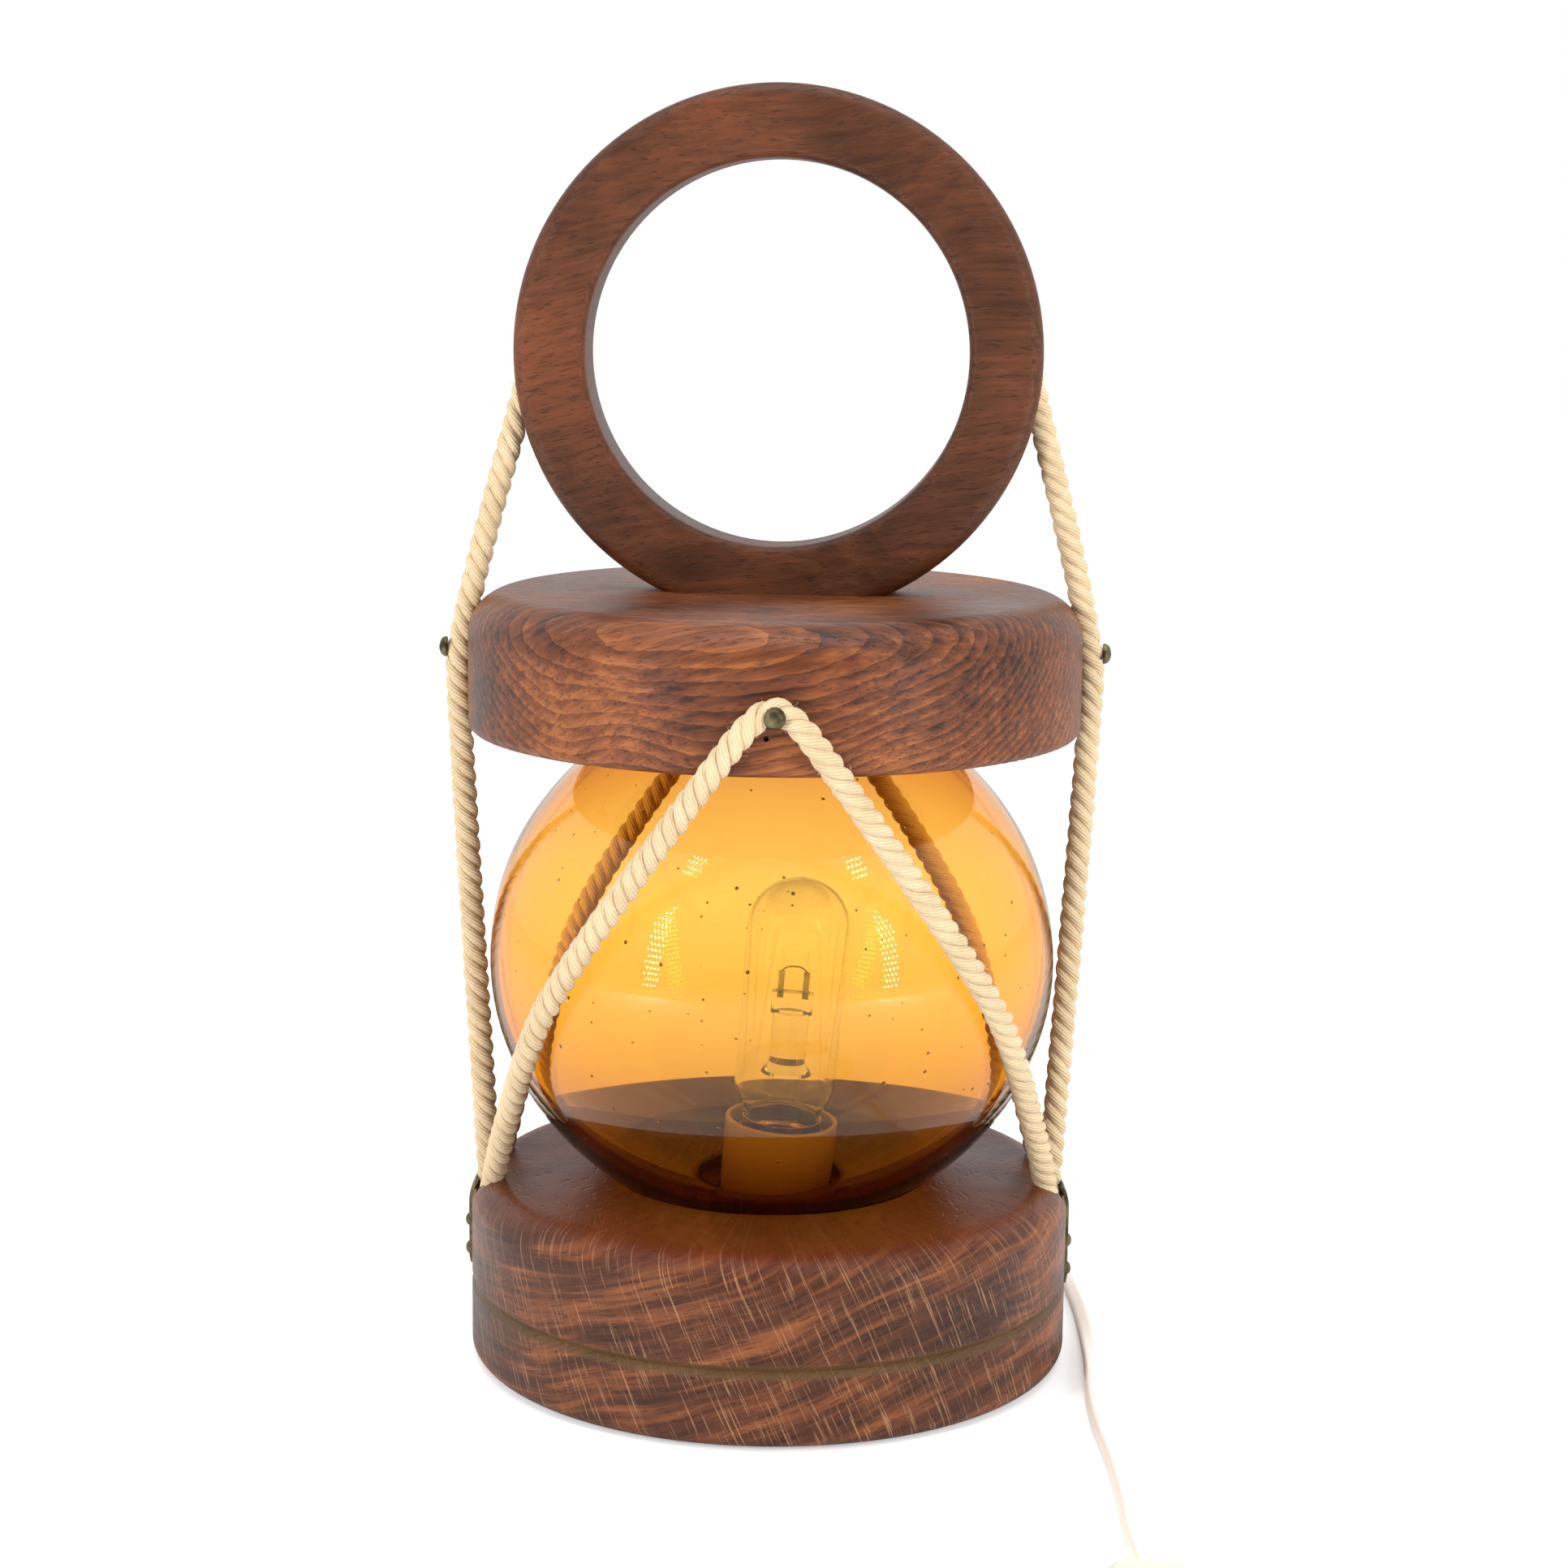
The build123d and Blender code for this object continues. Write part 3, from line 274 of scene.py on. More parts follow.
# %% [markdown]
# The mains cord is ivory twin flex: two cores side by side in one flat
# jacket, 5.2 mm wide and half as thick.  It leaves the base at the back,
# drops to the table, comes round the right side and runs forward to a switch
# in the line.  The rest of its 1.9 m is wound up in front, out of the way,
# and ends in a plug.
# %% Cord routes
LEAD_ROUTE = [
    (42.44, 116.61, 12.0), (46.9, 128.9, 11.8), (54.3, 138.2, 10.6), (64.6, 143.8, 8.8),
    (76.3, 145.2, 6.8), (87.8, 142.0, 5.0), (97.2, 134.6, 3.6), (103.4, 123.4, 2.8),
    (106.4, 106.4, 2.65), (107.3, 82.0, 2.65), (107.2, 57.0, 2.65), (108.6, 31.0, 2.65),
    (108.4, 4.0, 2.65), (106.4, -24.0, 2.65), (103.2, -54.0, 2.65), (102.8, -82.0, 2.65),
    (104.4, -108.0, 2.65), (104.6, -138.0, 2.65), (103.6, -164.0, 2.9), (103.8, -186.0, 5.0),
    (104.0, -204.0, 6.0),
]
TO_COIL_ROUTE = [(104.0, -264.0, 6.0), (104.2, -280.0, 5.2), (104.1, -298.0, 3.1),
    (103.5, -318.0, 2.75)]
TO_PLUG_ROUTE = [(62.0, -361.6, 7.9), (53.0, -361.9, 7.6), (43.0, -362.0, 7.0),
    (34.0, -362.0, 7.0)]
COIL_CENTRE = (68.0, -326.0)
COIL_WIDE, COIL_NARROW = 35.6, 21.4
COIL_TURNS = 7.25
COIL_STEPS = 16


def coil_route():
    """Clockwise turns: inwards on the table, then outwards on top of themselves."""
    points = []
    total = int(COIL_TURNS * COIL_STEPS)
    half = total / 2
    for i in range(1, total):
        turn = -2 * math.pi * i / COIL_STEPS
        inward = 1 - abs(i - half) / half
        radius = COIL_WIDE - (COIL_WIDE - COIL_NARROW) * inward
        climb = min(1, max(0, (i - half) / (COIL_STEPS * 0.5) + 0.5))
        climb = climb * climb * (3 - 2 * climb)
        x = COIL_CENTRE[0] + radius * math.cos(turn)
        y = COIL_CENTRE[1] + radius * math.sin(turn)
        points.append((x, y, 2.7 + 5.2 * climb))
    return points


lead_line = evenly(smooth_route("lead route", LEAD_ROUTE), 0.002)
mains_line = evenly(smooth_route("mains route", TO_COIL_ROUTE + coil_route() + TO_PLUG_ROUTE),
    0.002)
print("lead", round(length_of(lead_line), 4), "m, mains part", round(length_of(mains_line), 4),
    "m")

# %% [markdown]
# A flat flex is a figure of eight in section.  The section is carried along
# the line with its wide side standing up, except where the lead turns over
# beside the base and lies on its wide side, sinking by half the difference so
# that it still touches the table.
# %% Twin flex
CORD_WIDE, CORD_THICK = 0.0052, 0.0027


def flex_section(count=18):
    """The flat jacket's outline, with a shallow groove between the two cores."""
    outline = []
    for i in range(count):
        a = 2 * math.pi * i / count
        waist = 1 - 0.16 * math.exp(-(math.cos(a) / 0.22) ** 2)
        squarer = 1 / (abs(math.cos(a)) ** 2.6 + abs(math.sin(a)) ** 2.6) ** (1 / 2.6)
        wide = CORD_WIDE / 2 * math.cos(a) * squarer
        outline.append((wide, CORD_THICK / 2 * math.sin(a) * squarer * waist))
    return outline


def flex(name, line, lying=None):
    """A flat cord along a line.  lying gives how far it is turned over, 0 to 1, at each point."""
    section = flex_section()
    lying = np.zeros(len(line)) if lying is None else lying
    tangents = np.gradient(line, axis=0)
    tangents /= np.linalg.norm(tangents, axis=1)[:, None]
    points = []
    for place, way, over in zip(line, tangents, lying):
        side = np.cross(way, (0, 0, 1))
        side /= np.linalg.norm(side)
        up = np.cross(side, way)
        a = over * math.pi / 2
        wide_way = up * math.cos(a) + side * math.sin(a)
        thin_way = np.cross(way, wide_way)
        sink = np.array((0, 0, (CORD_WIDE - CORD_THICK) / 2 * math.sin(a) ** 2))
        points += [place - sink + wide_way * w + thin_way * t for w, t in section]
    n, rings = len(section), len(line)
    faces = []
    for k in range(rings - 1):
        for i in range(n):
            j = (i + 1) % n
            faces.append((k * n + i, k * n + j, (k + 1) * n + j, (k + 1) * n + i))
    faces.append(tuple(reversed(range(n))))
    faces.append(tuple((rings - 1) * n + i for i in range(n)))
    made = mesh_object(name, points, faces)
    tidy = bmesh.new()
    tidy.from_mesh(made.data)
    bmesh.ops.recalc_face_normals(tidy, faces=tidy.faces)
    tidy.to_mesh(made.data)
    tidy.free()
    return made


TURN_OVER = (0.095, -0.055)
turned_over = []
for place in lead_line:
    up_side = min(1, max(0, (TURN_OVER[0] - place[1]) / 0.05))
    down_side = min(1, max(0, (place[1] - TURN_OVER[1]) / 0.08))
    if place[0] < 0.09 and place[1] > 0.1:
        up_side = 0
    share = min(up_side, down_side)
    turned_over.append(share * share * (3 - 2 * share))
lead = flex("mains_lead", lead_line, np.array(turned_over))
mains = flex("mains_coiled", mains_line)
print("twin flex faces", len(lead.data.polygons), len(mains.data.polygons))

# %% [markdown]
# Three-strand rope follows a rule, so Geometry Nodes build it.  The tree
# turns the route into a curve, copies it once per strand, and pushes each
# copy out sideways by an angle that grows with the distance along: that makes
# three coils wound into each other.  Sweeping a circle along them gives the
# strands.  The tree also stores how far along and how far round each point
# is, so that the cotton's yarns can be drawn on the surface later.
# %% Rope tree


def group_input(tree, name, kind, value):
    socket = tree.interface.new_socket(name=name, in_out="INPUT", socket_type=kind)
    if value is not None:
        socket.default_value = value
    return socket


def rope_tree():
    tree = bpy.data.node_groups.new("Laid rope", "GeometryNodeTree")
    tree.interface.new_socket(name="Geometry", in_out="INPUT", socket_type="NodeSocketGeometry")
    group_input(tree, "Strands", "NodeSocketInt", 3)
    group_input(tree, "Rope diameter", "NodeSocketFloat", 0.007)
    group_input(tree, "Lay length", "NodeSocketFloat", 0.0172)
    group_input(tree, "Seed", "NodeSocketInt", 1)
    group_input(tree, "Material", "NodeSocketMaterial", None)
    tree.interface.new_socket(name="Geometry", in_out="OUTPUT", socket_type="NodeSocketGeometry")
    given = add(tree, "NodeGroupInput").outputs
    curve = add(tree, "GeometryNodeMeshToCurve", {"Mesh": given["Geometry"]})
    copies = add(tree, "GeometryNodeDuplicateElements", {"Geometry": curve,
        "Amount": given["Strands"]}, domain="SPLINE")
    along = add(tree, "GeometryNodeSplineParameter")
    turns = add(tree, "ShaderNodeMath", {0: along.outputs["Length"], 1: given["Lay length"]},
        operation="DIVIDE")
    share = add(tree, "ShaderNodeMath", {0: copies.outputs["Duplicate Index"],
        1: given["Strands"]}, operation="DIVIDE")
    whole = add(tree, "ShaderNodeMath", {0: share, 1: turns}, operation="SUBTRACT")
    angle = add(tree, "ShaderNodeMath", {0: whole, 1: 2 * math.pi}, operation="MULTIPLY")
    cosine = add(tree, "ShaderNodeMath", {0: angle}, operation="COSINE")
    sine = add(tree, "ShaderNodeMath", {0: angle}, operation="SINE")
    # Shares of the rope's diameter: how far out a strand's middle sits, and half its width.
    strand_reach, strand_half = 0.285, 0.275
    reach = add(tree, "ShaderNodeMath", {0: given["Rope diameter"], 1: strand_reach},
        operation="MULTIPLY")
    wobble = add(tree, "ShaderNodeTexNoise", {"W": given["Seed"], "Scale": 130.0, "Detail": 1.0},
        noise_dimensions="4D")
    loosened = add(tree, "ShaderNodeMapRange", {"Value": wobble, "To Min": 0.90, "To Max": 1.12})
    radius = add(tree, "ShaderNodeMath", {0: reach, 1: loosened}, operation="MULTIPLY")
    normal = add(tree, "GeometryNodeInputNormal")
    tangent = add(tree, "GeometryNodeInputTangent")
    across = add(tree, "ShaderNodeVectorMath", {0: tangent, 1: normal}, operation="CROSS_PRODUCT")
    out_a = add(tree, "ShaderNodeVectorMath", {0: normal, "Scale": cosine}, operation="SCALE")
    out_b = add(tree, "ShaderNodeVectorMath", {0: across, "Scale": sine}, operation="SCALE")
    both = add(tree, "ShaderNodeVectorMath", {0: out_a, 1: out_b}, operation="ADD")
    push = add(tree, "ShaderNodeVectorMath", {0: both, "Scale": radius}, operation="SCALE")
    moved = add(tree, "GeometryNodeSetPosition", {"Geometry": copies, "Offset": push})
    noted = add(tree, "GeometryNodeStoreNamedAttribute", {"Geometry": moved, "Name": "along",
        "Value": along.outputs["Length"]}, data_type="FLOAT")
    which = add(tree, "GeometryNodeStoreNamedAttribute", {"Geometry": noted, "Name": "strand",
        "Value": copies.outputs["Duplicate Index"]}, data_type="FLOAT")
    # The strand's own section, a circle whose points carry the sine and cosine of their angle.
    half = add(tree, "ShaderNodeMath", {0: given["Rope diameter"], 1: strand_half},
        operation="MULTIPLY")
    ring = add(tree, "GeometryNodeCurvePrimitiveCircle", {"Resolution": 14, "Radius": half})
    round_share = add(tree, "GeometryNodeSplineParameter")
    round_angle = add(tree, "ShaderNodeMath", {0: round_share.outputs["Factor"], 1: 2 * math.pi},
        operation="MULTIPLY")
    c = add(tree, "ShaderNodeMath", {0: round_angle}, operation="COSINE")
    s = add(tree, "ShaderNodeMath", {0: round_angle}, operation="SINE")
    ring_c = add(tree, "GeometryNodeStoreNamedAttribute", {"Geometry": ring, "Name": "round_cos",
        "Value": c}, data_type="FLOAT")
    ring_s = add(tree, "GeometryNodeStoreNamedAttribute", {"Geometry": ring_c, "Name": "round_sin",
        "Value": s}, data_type="FLOAT")
    swept = add(tree, "GeometryNodeCurveToMesh", {"Curve": which, "Profile Curve": ring_s,
        "Fill Caps": True})
    smooth = add(tree, "GeometryNodeSetShadeSmooth", {"Geometry": swept})
    real = add(tree, "GeometryNodeRealizeInstances", {"Geometry": smooth})
    painted = add(tree, "GeometryNodeSetMaterial", {"Geometry": real,
        "Material": given["Material"]})
    add(tree, "NodeGroupOutput", {"Geometry": painted})
    return tree


def grow(name, base, tree, values):
    """Run a tree on an object with named inputs, and keep the result as a plain mesh."""
    live = base.modifiers.new("tree", "NODES")
    live.node_group = tree
    for item in tree.interface.items_tree:
        if item.in_out == "INPUT" and item.name in values:
            live[item.identifier] = values[item.name]
    bpy.context.view_layer.update()
    seen = base.evaluated_get(bpy.context.evaluated_depsgraph_get())
    plain = bpy.data.meshes.new_from_object(seen)
    base.modifiers.remove(live)
    made = bpy.data.objects.new(name, plain)
    plain.name = name
    scene.collection.objects.link(made)
    bpy.data.objects.remove(base)
    return made


def thread_object(name, line):
    """A chain of edges: what a tree turns into a curve."""
    data = bpy.data.meshes.new(name)
    data.from_pydata([tuple(p) for p in line], [(i, i + 1) for i in range(len(line) - 1)], [])
    made = bpy.data.objects.new(name, data)
    scene.collection.objects.link(made)
    return made


laid_rope = rope_tree()
print("rope tree with", len(laid_rope.nodes), "nodes")

# %% [markdown]
# Undyed cotton rope is dull and pale, a little darker where the strands meet.
# Its yarns run almost along the rope, so on each strand they lie at the
# opposite slant to the lay.  They are about a millimetre wide.  Cotton has no
# gloss, but its loose fibres catch the light at the edges, which is what
# sheen is for.
# %% Cotton
YARNS_ROUND = 11
YARN_SLANT = 0.43 / 0.0017

cotton, tree, out = material("undyed laid cotton")
attr = {n: add(tree, "ShaderNodeAttribute", attribute_name=n) for n in ("along", "round_cos",
    "round_sin", "strand")}
round_at = add(tree, "ShaderNodeMath", {0: attr["round_sin"].outputs["Fac"],
    1: attr["round_cos"].outputs["Fac"]}, operation="ARCTAN2")
slid = add(tree, "ShaderNodeMath", {0: attr["along"].outputs["Fac"], 1: YARN_SLANT, 2: round_at},
    operation="MULTIPLY_ADD")
phase = add(tree, "ShaderNodeMath", {0: slid, 1: float(YARNS_ROUND)}, operation="MULTIPLY")
yarn = add(tree, "ShaderNodeMath", {0: phase}, operation="SINE")
place = add(tree, "ShaderNodeTexCoord")
fibre = add(tree, "ShaderNodeTexNoise", {"Vector": place.outputs["Object"], "Scale": 2600.0,
    "Detail": 3.0})
mottle = add(tree, "ShaderNodeTexNoise", {"Vector": place.outputs["Object"], "Scale": 90.0,
    "Detail": 2.0})
# The yarn stripes are partly the yarn pattern and partly painted shade: each yarn is coloured
# darker in the dip beside it, where its bump is low.
tone = add(tree, "ShaderNodeMapRange", {"Value": yarn, "From Min": -1.0, "To Min": 0.34,
    "To Max": 0.66})
mixed = add(tree, "ShaderNodeMath", {0: fibre, 1: 0.6, 2: tone}, operation="MULTIPLY_ADD")
mixed = add(tree, "ShaderNodeMath", {0: mottle, 1: 0.5, 2: mixed}, operation="MULTIPLY_ADD")
shades = add(tree, "ShaderNodeValToRGB", {"Fac": add(tree, "ShaderNodeMath", {0: mixed, 1: 0.55},
    operation="MULTIPLY").outputs[0]})
shades.color_ramp.elements[0].position = 0.30
shades.color_ramp.elements[0].color = colour("#b39468")
shades.color_ramp.elements[1].position = 0.78
shades.color_ramp.elements[1].color = colour("#f4dfba")
yarn_bump = add(tree, "ShaderNodeBump", {"Strength": 0.55, "Distance": 0.00018, "Height": yarn})
fibre_bump = add(tree, "ShaderNodeBump", {"Strength": 0.5, "Distance": 0.00015, "Height": fibre,
    "Normal": yarn_bump})
shader = add(tree, "ShaderNodeBsdfPrincipled", {"Base Color": shades, "Roughness": 0.92,
    "Normal": fibre_bump, "Sheen Weight": 0.25, "Sheen Roughness": 0.4, "Specular IOR Level": 0.2})
tree.links.new(shader.outputs[0], out.inputs["Surface"])
print("material", cotton.name)

# %% [markdown]
# Each side rope comes up out of a pocket in the base, lies against the top
# disc and ends in a hole in the ring.  The front and back ropes each make one
# V: up over the globe to a nail in the disc and down again.
# %% Rope routes and ropes
DISC_R, DISC_TOP, DISC_SHOULDER, RING_R = 100.0, 255.0, 14.0, 85.0
RING_FOOT_HALF = 36.5
RING_TURN = math.radians(-4.5)
ROPE_R, ROPE_GAP = 3.5, 0.2
DRAWN_ROPE = 0.0074  # over the strands, which leave hollows, in metres
POCKET_X, POCKET_FLOOR = 93.3, 45.0
RING_Z = DISC_TOP + math.sqrt(RING_R ** 2 - RING_FOOT_HALF ** 2)


def side_route(side):
    """A side rope's control points, worked out from the disc and the ring as in the CAD model."""
    lay = DISC_R + ROPE_R + ROPE_GAP
    rise = (DISC_SHOULDER + ROPE_R + ROPE_GAP) * math.tan(math.radians(8.5))
    corner_z = DISC_TOP - DISC_SHOULDER + rise
    drop = 16.0
    reach = side * math.sqrt(RING_R ** 2 - drop ** 2)
    entry = Vector((reach * math.cos(RING_TURN), reach * math.sin(RING_TURN), RING_Z - drop))
    corner = Vector((side * lay, 0, corner_z))
    way = (entry - corner).normalized()
    return [(side * POCKET_X, 0, POCKET_FLOOR + ROPE_GAP), (side * lay, 0, 213.0), tuple(corner),
        tuple(entry + way * 14.0)]


V_HALF = [
    (-93.2, -9.3, POCKET_FLOOR + 2 * ROPE_GAP), (-92.8, -10.3, 57.5), (-78.4, -53.7, 110.5),
    (-67.4, -72.1, 139.0), (-18.8, -102.2, 211.8), (-4.3, -103.8, 231.0),
]
v_front = V_HALF + [(-x, y, z) for x, y, z in reversed(V_HALF)]
v_back = [(-x, -y, z) for x, y, z in v_front]
rope_routes = {"rope_left": side_route(-1), "rope_right": side_route(1), "rope_front": v_front,
    "rope_back": v_back}
ropes = {}
for seed, (node, points) in enumerate(rope_routes.items()):
    line = evenly(smooth_route(node + " route", points), 0.0011)
    piece = grow("laid_" + node, thread_object(node + "_thread", line), laid_rope,
        {"Seed": seed + 3, "Rope diameter": DRAWN_ROPE, "Material": cotton})
    ropes[node] = (piece, line)
    print(node, round(length_of(line), 4), "m,", len(piece.data.polygons), "faces")

# %% [markdown]
# Cotton rope is hairy.  A second tree scatters short bent fibres over the
# ropes.  Each is a three-sided thread a tenth of a millimetre thick: it is
# drawn a little coarser than real lint so that it shows at all.
# %% Lint


def lint_tree():
    tree = bpy.data.node_groups.new("Cotton lint", "GeometryNodeTree")
    tree.interface.new_socket(name="Geometry", in_out="INPUT", socket_type="NodeSocketGeometry")
    group_input(tree, "Fibres per square metre", "NodeSocketFloat", 90000.0)
    group_input(tree, "Fibre length", "NodeSocketFloat", 0.0016)
    group_input(tree, "Fibre radius", "NodeSocketFloat", 0.00004)
    group_input(tree, "Seed", "NodeSocketInt", 5)
    group_input(tree, "Material", "NodeSocketMaterial", None)
    tree.interface.new_socket(name="Geometry", in_out="OUTPUT", socket_type="NodeSocketGeometry")
    given = add(tree, "NodeGroupInput").outputs
    spots = add(tree, "GeometryNodeDistributePointsOnFaces",
        {"Mesh": given["Geometry"], "Density": given["Fibres per square metre"],
        "Seed": given["Seed"]})
    half_way = add(tree, "ShaderNodeCombineXYZ", {"X": 0.0005, "Z": 0.0009})
    end = add(tree, "ShaderNodeCombineXYZ", {"X": 0.0014, "Z": given["Fibre length"]})
    strand = add(tree, "GeometryNodeCurveQuadraticBezier", {"Resolution": 3, "Start": (0, 0,
        -0.0003), "Middle": half_way, "End": end})
    section = add(tree, "GeometryNodeCurvePrimitiveCircle", {"Resolution": 3,
        "Radius": given["Fibre radius"]})
    hair = add(tree, "GeometryNodeCurveToMesh", {"Curve": strand, "Profile Curve": section,
        "Fill Caps": True})
    spin = add(tree, "FunctionNodeRandomValue", {"Min": (-0.9, -0.9, 0.0), "Max": (0.9, 0.9, 6.28),
        "Seed": given["Seed"]}, data_type="FLOAT_VECTOR")
    turn = add(tree, "FunctionNodeEulerToRotation", {0: spin})
    facing = add(tree, "FunctionNodeRotateRotation", {"Rotation": spots.outputs["Rotation"],
        "Rotate By": turn}, rotation_space="LOCAL")
    sizes = add(tree, "FunctionNodeRandomValue", {2: 0.4, 3: 1.15, "Seed": given["Seed"]},
        data_type="FLOAT")
    planted = add(tree, "GeometryNodeInstanceOnPoints", {"Points": spots, "Instance": hair,
        "Rotation": facing, "Scale": sizes.outputs[1]})
    real = add(tree, "GeometryNodeRealizeInstances", {"Geometry": planted})
    painted = add(tree, "GeometryNodeSetMaterial", {"Geometry": real,
        "Material": given["Material"]})
    add(tree, "NodeGroupOutput", {"Geometry": painted})
    return tree


lint_paint, tree, out = material("cotton lint")
shader = add(tree, "ShaderNodeBsdfPrincipled", {"Base Color": colour("#ead7b4"), "Roughness": 0.95,
    "Specular IOR Level": 0.1})
tree.links.new(shader.outputs[0], out.inputs["Surface"])
lint_maker = lint_tree()
lint = []
for node, (piece, line) in ropes.items():
    copy = bpy.data.objects.new(node + "_skin", piece.data.copy())
    scene.collection.objects.link(copy)
    lint.append(grow("lint_" + node, copy, lint_maker, {"Material": lint_paint}))
print("lint faces", [len(o.data.polygons) for o in lint])

# %% [markdown]
# The globe is blown glass: round but never perfectly so, about 3 mm thick,
# with a heavier foot.  It is turned from one closed outline that runs up the
# outside and back down the inside, and slow waves push both walls together,
# so that reflections bend a little.
# %% Blown globe
GLOBE_R, GLOBE_HALF, GLOBE_Z = 0.093, 0.089, 0.134
WALL, FOOT, MOUTH_R = 0.003, 0.006, 0.0245


def globe_outline(steps=72):
    """Outside from the mouth's edge to the top, then inside back down to the mouth."""
    inside, inside_half, rise = GLOBE_R - WALL, GLOBE_HALF - (WALL + FOOT) / 2, (FOOT - WALL) / 2
    rows = []
    for radius, half, lift, flip in ((GLOBE_R, GLOBE_HALF, 0, False),
            (inside, inside_half, rise, True)):
        start = -math.acos(MOUTH_R / radius)
        angles = [start + (math.pi / 2 - start) * i / steps for i in range(steps + 1)]
        side = [(radius * math.cos(a), GLOBE_Z + lift + half * math.sin(a)) for a in angles]
        rows.append(side[::-1] if flip else side)
    return rows


def uneven(x, y, z):
    """How far the glass wall is out of true, in metres: three slow waves."""
    return 0.00016 * (
        math.sin(47 * x + 31 * z + 1.3) + math.sin(61 * y - 38 * z + 0.4)
        + 0.6 * math.sin(90 * (x + y) + 55 * z)
    )


def blown_globe(name, around=160):
    outside, inner = globe_outline()
    rows = outside[:-1] + inner[1:]
    points, faces = [], []
    for radius, z in rows:
        for k in range(around):
            a = 2 * math.pi * k / around
            x, y = radius * math.cos(a), radius * math.sin(a)
            fade = min(1, radius / 0.03)
            swell = 1 + uneven(x, y, z) * fade / max(radius, 0.02)
            points.append((x * swell, y * swell, z))
    top_out, top_in = len(points), len(points) + 1
    points += [(0, 0, outside[-1][1]), (0, 0, inner[0][1])]
    last_out = len(outside) - 2
    for r in range(len(rows)):
        if r == last_out:
            continue
        n = (r + 1) % len(rows)
        for k in range(around):
            j = (k + 1) % around
            faces.append((r * around + k, r * around + j, n * around + j, n * around + k))
    for k in range(around):
        j = (k + 1) % around
        faces.append((last_out * around + k, last_out * around + j, top_out))
        faces.append(((last_out + 1) * around + j, (last_out + 1) * around + k, top_in))
    made = mesh_object(name, points, faces)
    tidy = bmesh.new()
    tidy.from_mesh(made.data)
    bmesh.ops.recalc_face_normals(tidy, faces=tidy.faces)
    tidy.to_mesh(made.data)
    tidy.free()
    return made


globe = blown_globe("blown_globe")
print("globe faces", len(globe.data.polygons))

# %% [markdown]
# Amber glass takes its colour from its depth, not from its skin.  Light loses
# blue first and green next on its way through, so the middle of the globe is
# golden and its edge, where one looks along the wall, is brown.  That is
# absorption: the numbers say how much of each colour is left after two 3 mm
# walls.  Fine seeds, the gas bubbles of simple glass, are a sparse bump.  The
# skin is also tinted darker towards the foot and the crown, which is painted shade.
# %% Amber glass
TWO_WALLS = 0.006
LEFT_OVER = (0.965, 0.50, 0.065)

amber, tree, out = material("blown amber glass")
loss = [-math.log(t) / TWO_WALLS for t in LEFT_OVER]
densest = max(loss) * 1.02
place = add(tree, "ShaderNodeTexCoord")
seeds = add(tree, "ShaderNodeTexVoronoi", {"Vector": place.outputs["Object"], "Scale": 95.0,
    "Randomness": 1.0})
speck = add(tree, "ShaderNodeMapRange", {"Value": seeds.outputs["Distance"], "From Min": 0.035,
    "From Max": 0.055, "To Min": 1.0, "To Max": 0.0})
clear = add(tree, "ShaderNodeMix", {"Factor": speck}, data_type="RGBA")
# The foot is already thicker in the mesh.  This tint is painted shade: it darkens the glass
# towards its foot and its crown.
height = add(tree, "ShaderNodeSeparateXYZ", {0: place.outputs["Object"]})
level = add(tree, "ShaderNodeMapRange", {"Value": height.outputs["Z"], "From Min": 0.060,
    "From Max": 0.220})
depth = add(tree, "ShaderNodeValToRGB", {"Fac": level})
depth.color_ramp.elements[0].color = (0.66, 0.74, 0.92, 1)
depth.color_ramp.elements[1].color = (0.88, 0.70, 0.95, 1)
for at, tint in ((0.22, (0.84, 0.90, 1.0, 1)), (0.42, (1, 1, 1, 1)), (0.70, (1, 1, 1, 1)),
        (0.88, (0.94, 0.82, 1, 1))):
    depth.color_ramp.elements.new(at).color = tint
tree.links.new(depth.outputs[0], clear.inputs["A"])
clear.inputs["B"].default_value = colour("#4a3010")
ripple = add(tree, "ShaderNodeTexNoise", {"Vector": place.outputs["Object"], "Scale": 14.0,
    "Detail": 1.0})
ripple_bump = add(tree, "ShaderNodeBump", {"Strength": 0.25, "Distance": 0.0012, "Height": ripple})
seed_bump = add(tree, "ShaderNodeBump", {"Strength": 0.7, "Distance": 0.0005, "Height": speck,
    "Normal": ripple_bump})
glassy = add(tree, "ShaderNodeBsdfPrincipled", {"Base Color": clear.outputs["Result"],
    "Roughness": 0.0, "IOR": 1.5, "Transmission Weight": 1.0, "Normal": seed_bump})
soak = add(tree, "ShaderNodeVolumeAbsorption", {"Color": (*[1 - k / densest for k in loss], 1.0),
    "Density": densest})
tree.links.new(glassy.outputs[0], out.inputs["Surface"])
tree.links.new(soak.outputs[0], out.inputs["Volume"])
globe.data.materials.append(amber)
print("amber glass absorbs up to", round(densest), "per metre")

# %% [markdown]
# The wood is a stained, open-pored hardwood, turned on a lathe and rubbed
# with oil.  Its pattern is built in four sizes: patches some 60 mm across
# where the stain took more or less, bands some 5 mm apart that run along the
# grain, lines 2 to 3 mm apart, and the open pores, which are dark dashes.  On
# the base, fine pale rays cross the bands steeply.  Every piece was cut from
# a different part of the tree, so each gets its own turn of the same wood.
# %% Stained wood


def stretched(tree, source, along, across, detail=2.0, rough=0.55, deep=None):
    """Noise drawn out along the board's own X, so many features per metre each way."""
    drawn = add(tree, "ShaderNodeMapping", {"Vector": source, "Scale": (along, deep or across,
        across)})
    return add(tree, "ShaderNodeTexNoise", {"Vector": drawn, "Scale": 1.0, "Detail": detail,
        "Roughness": rough}).outputs[0]


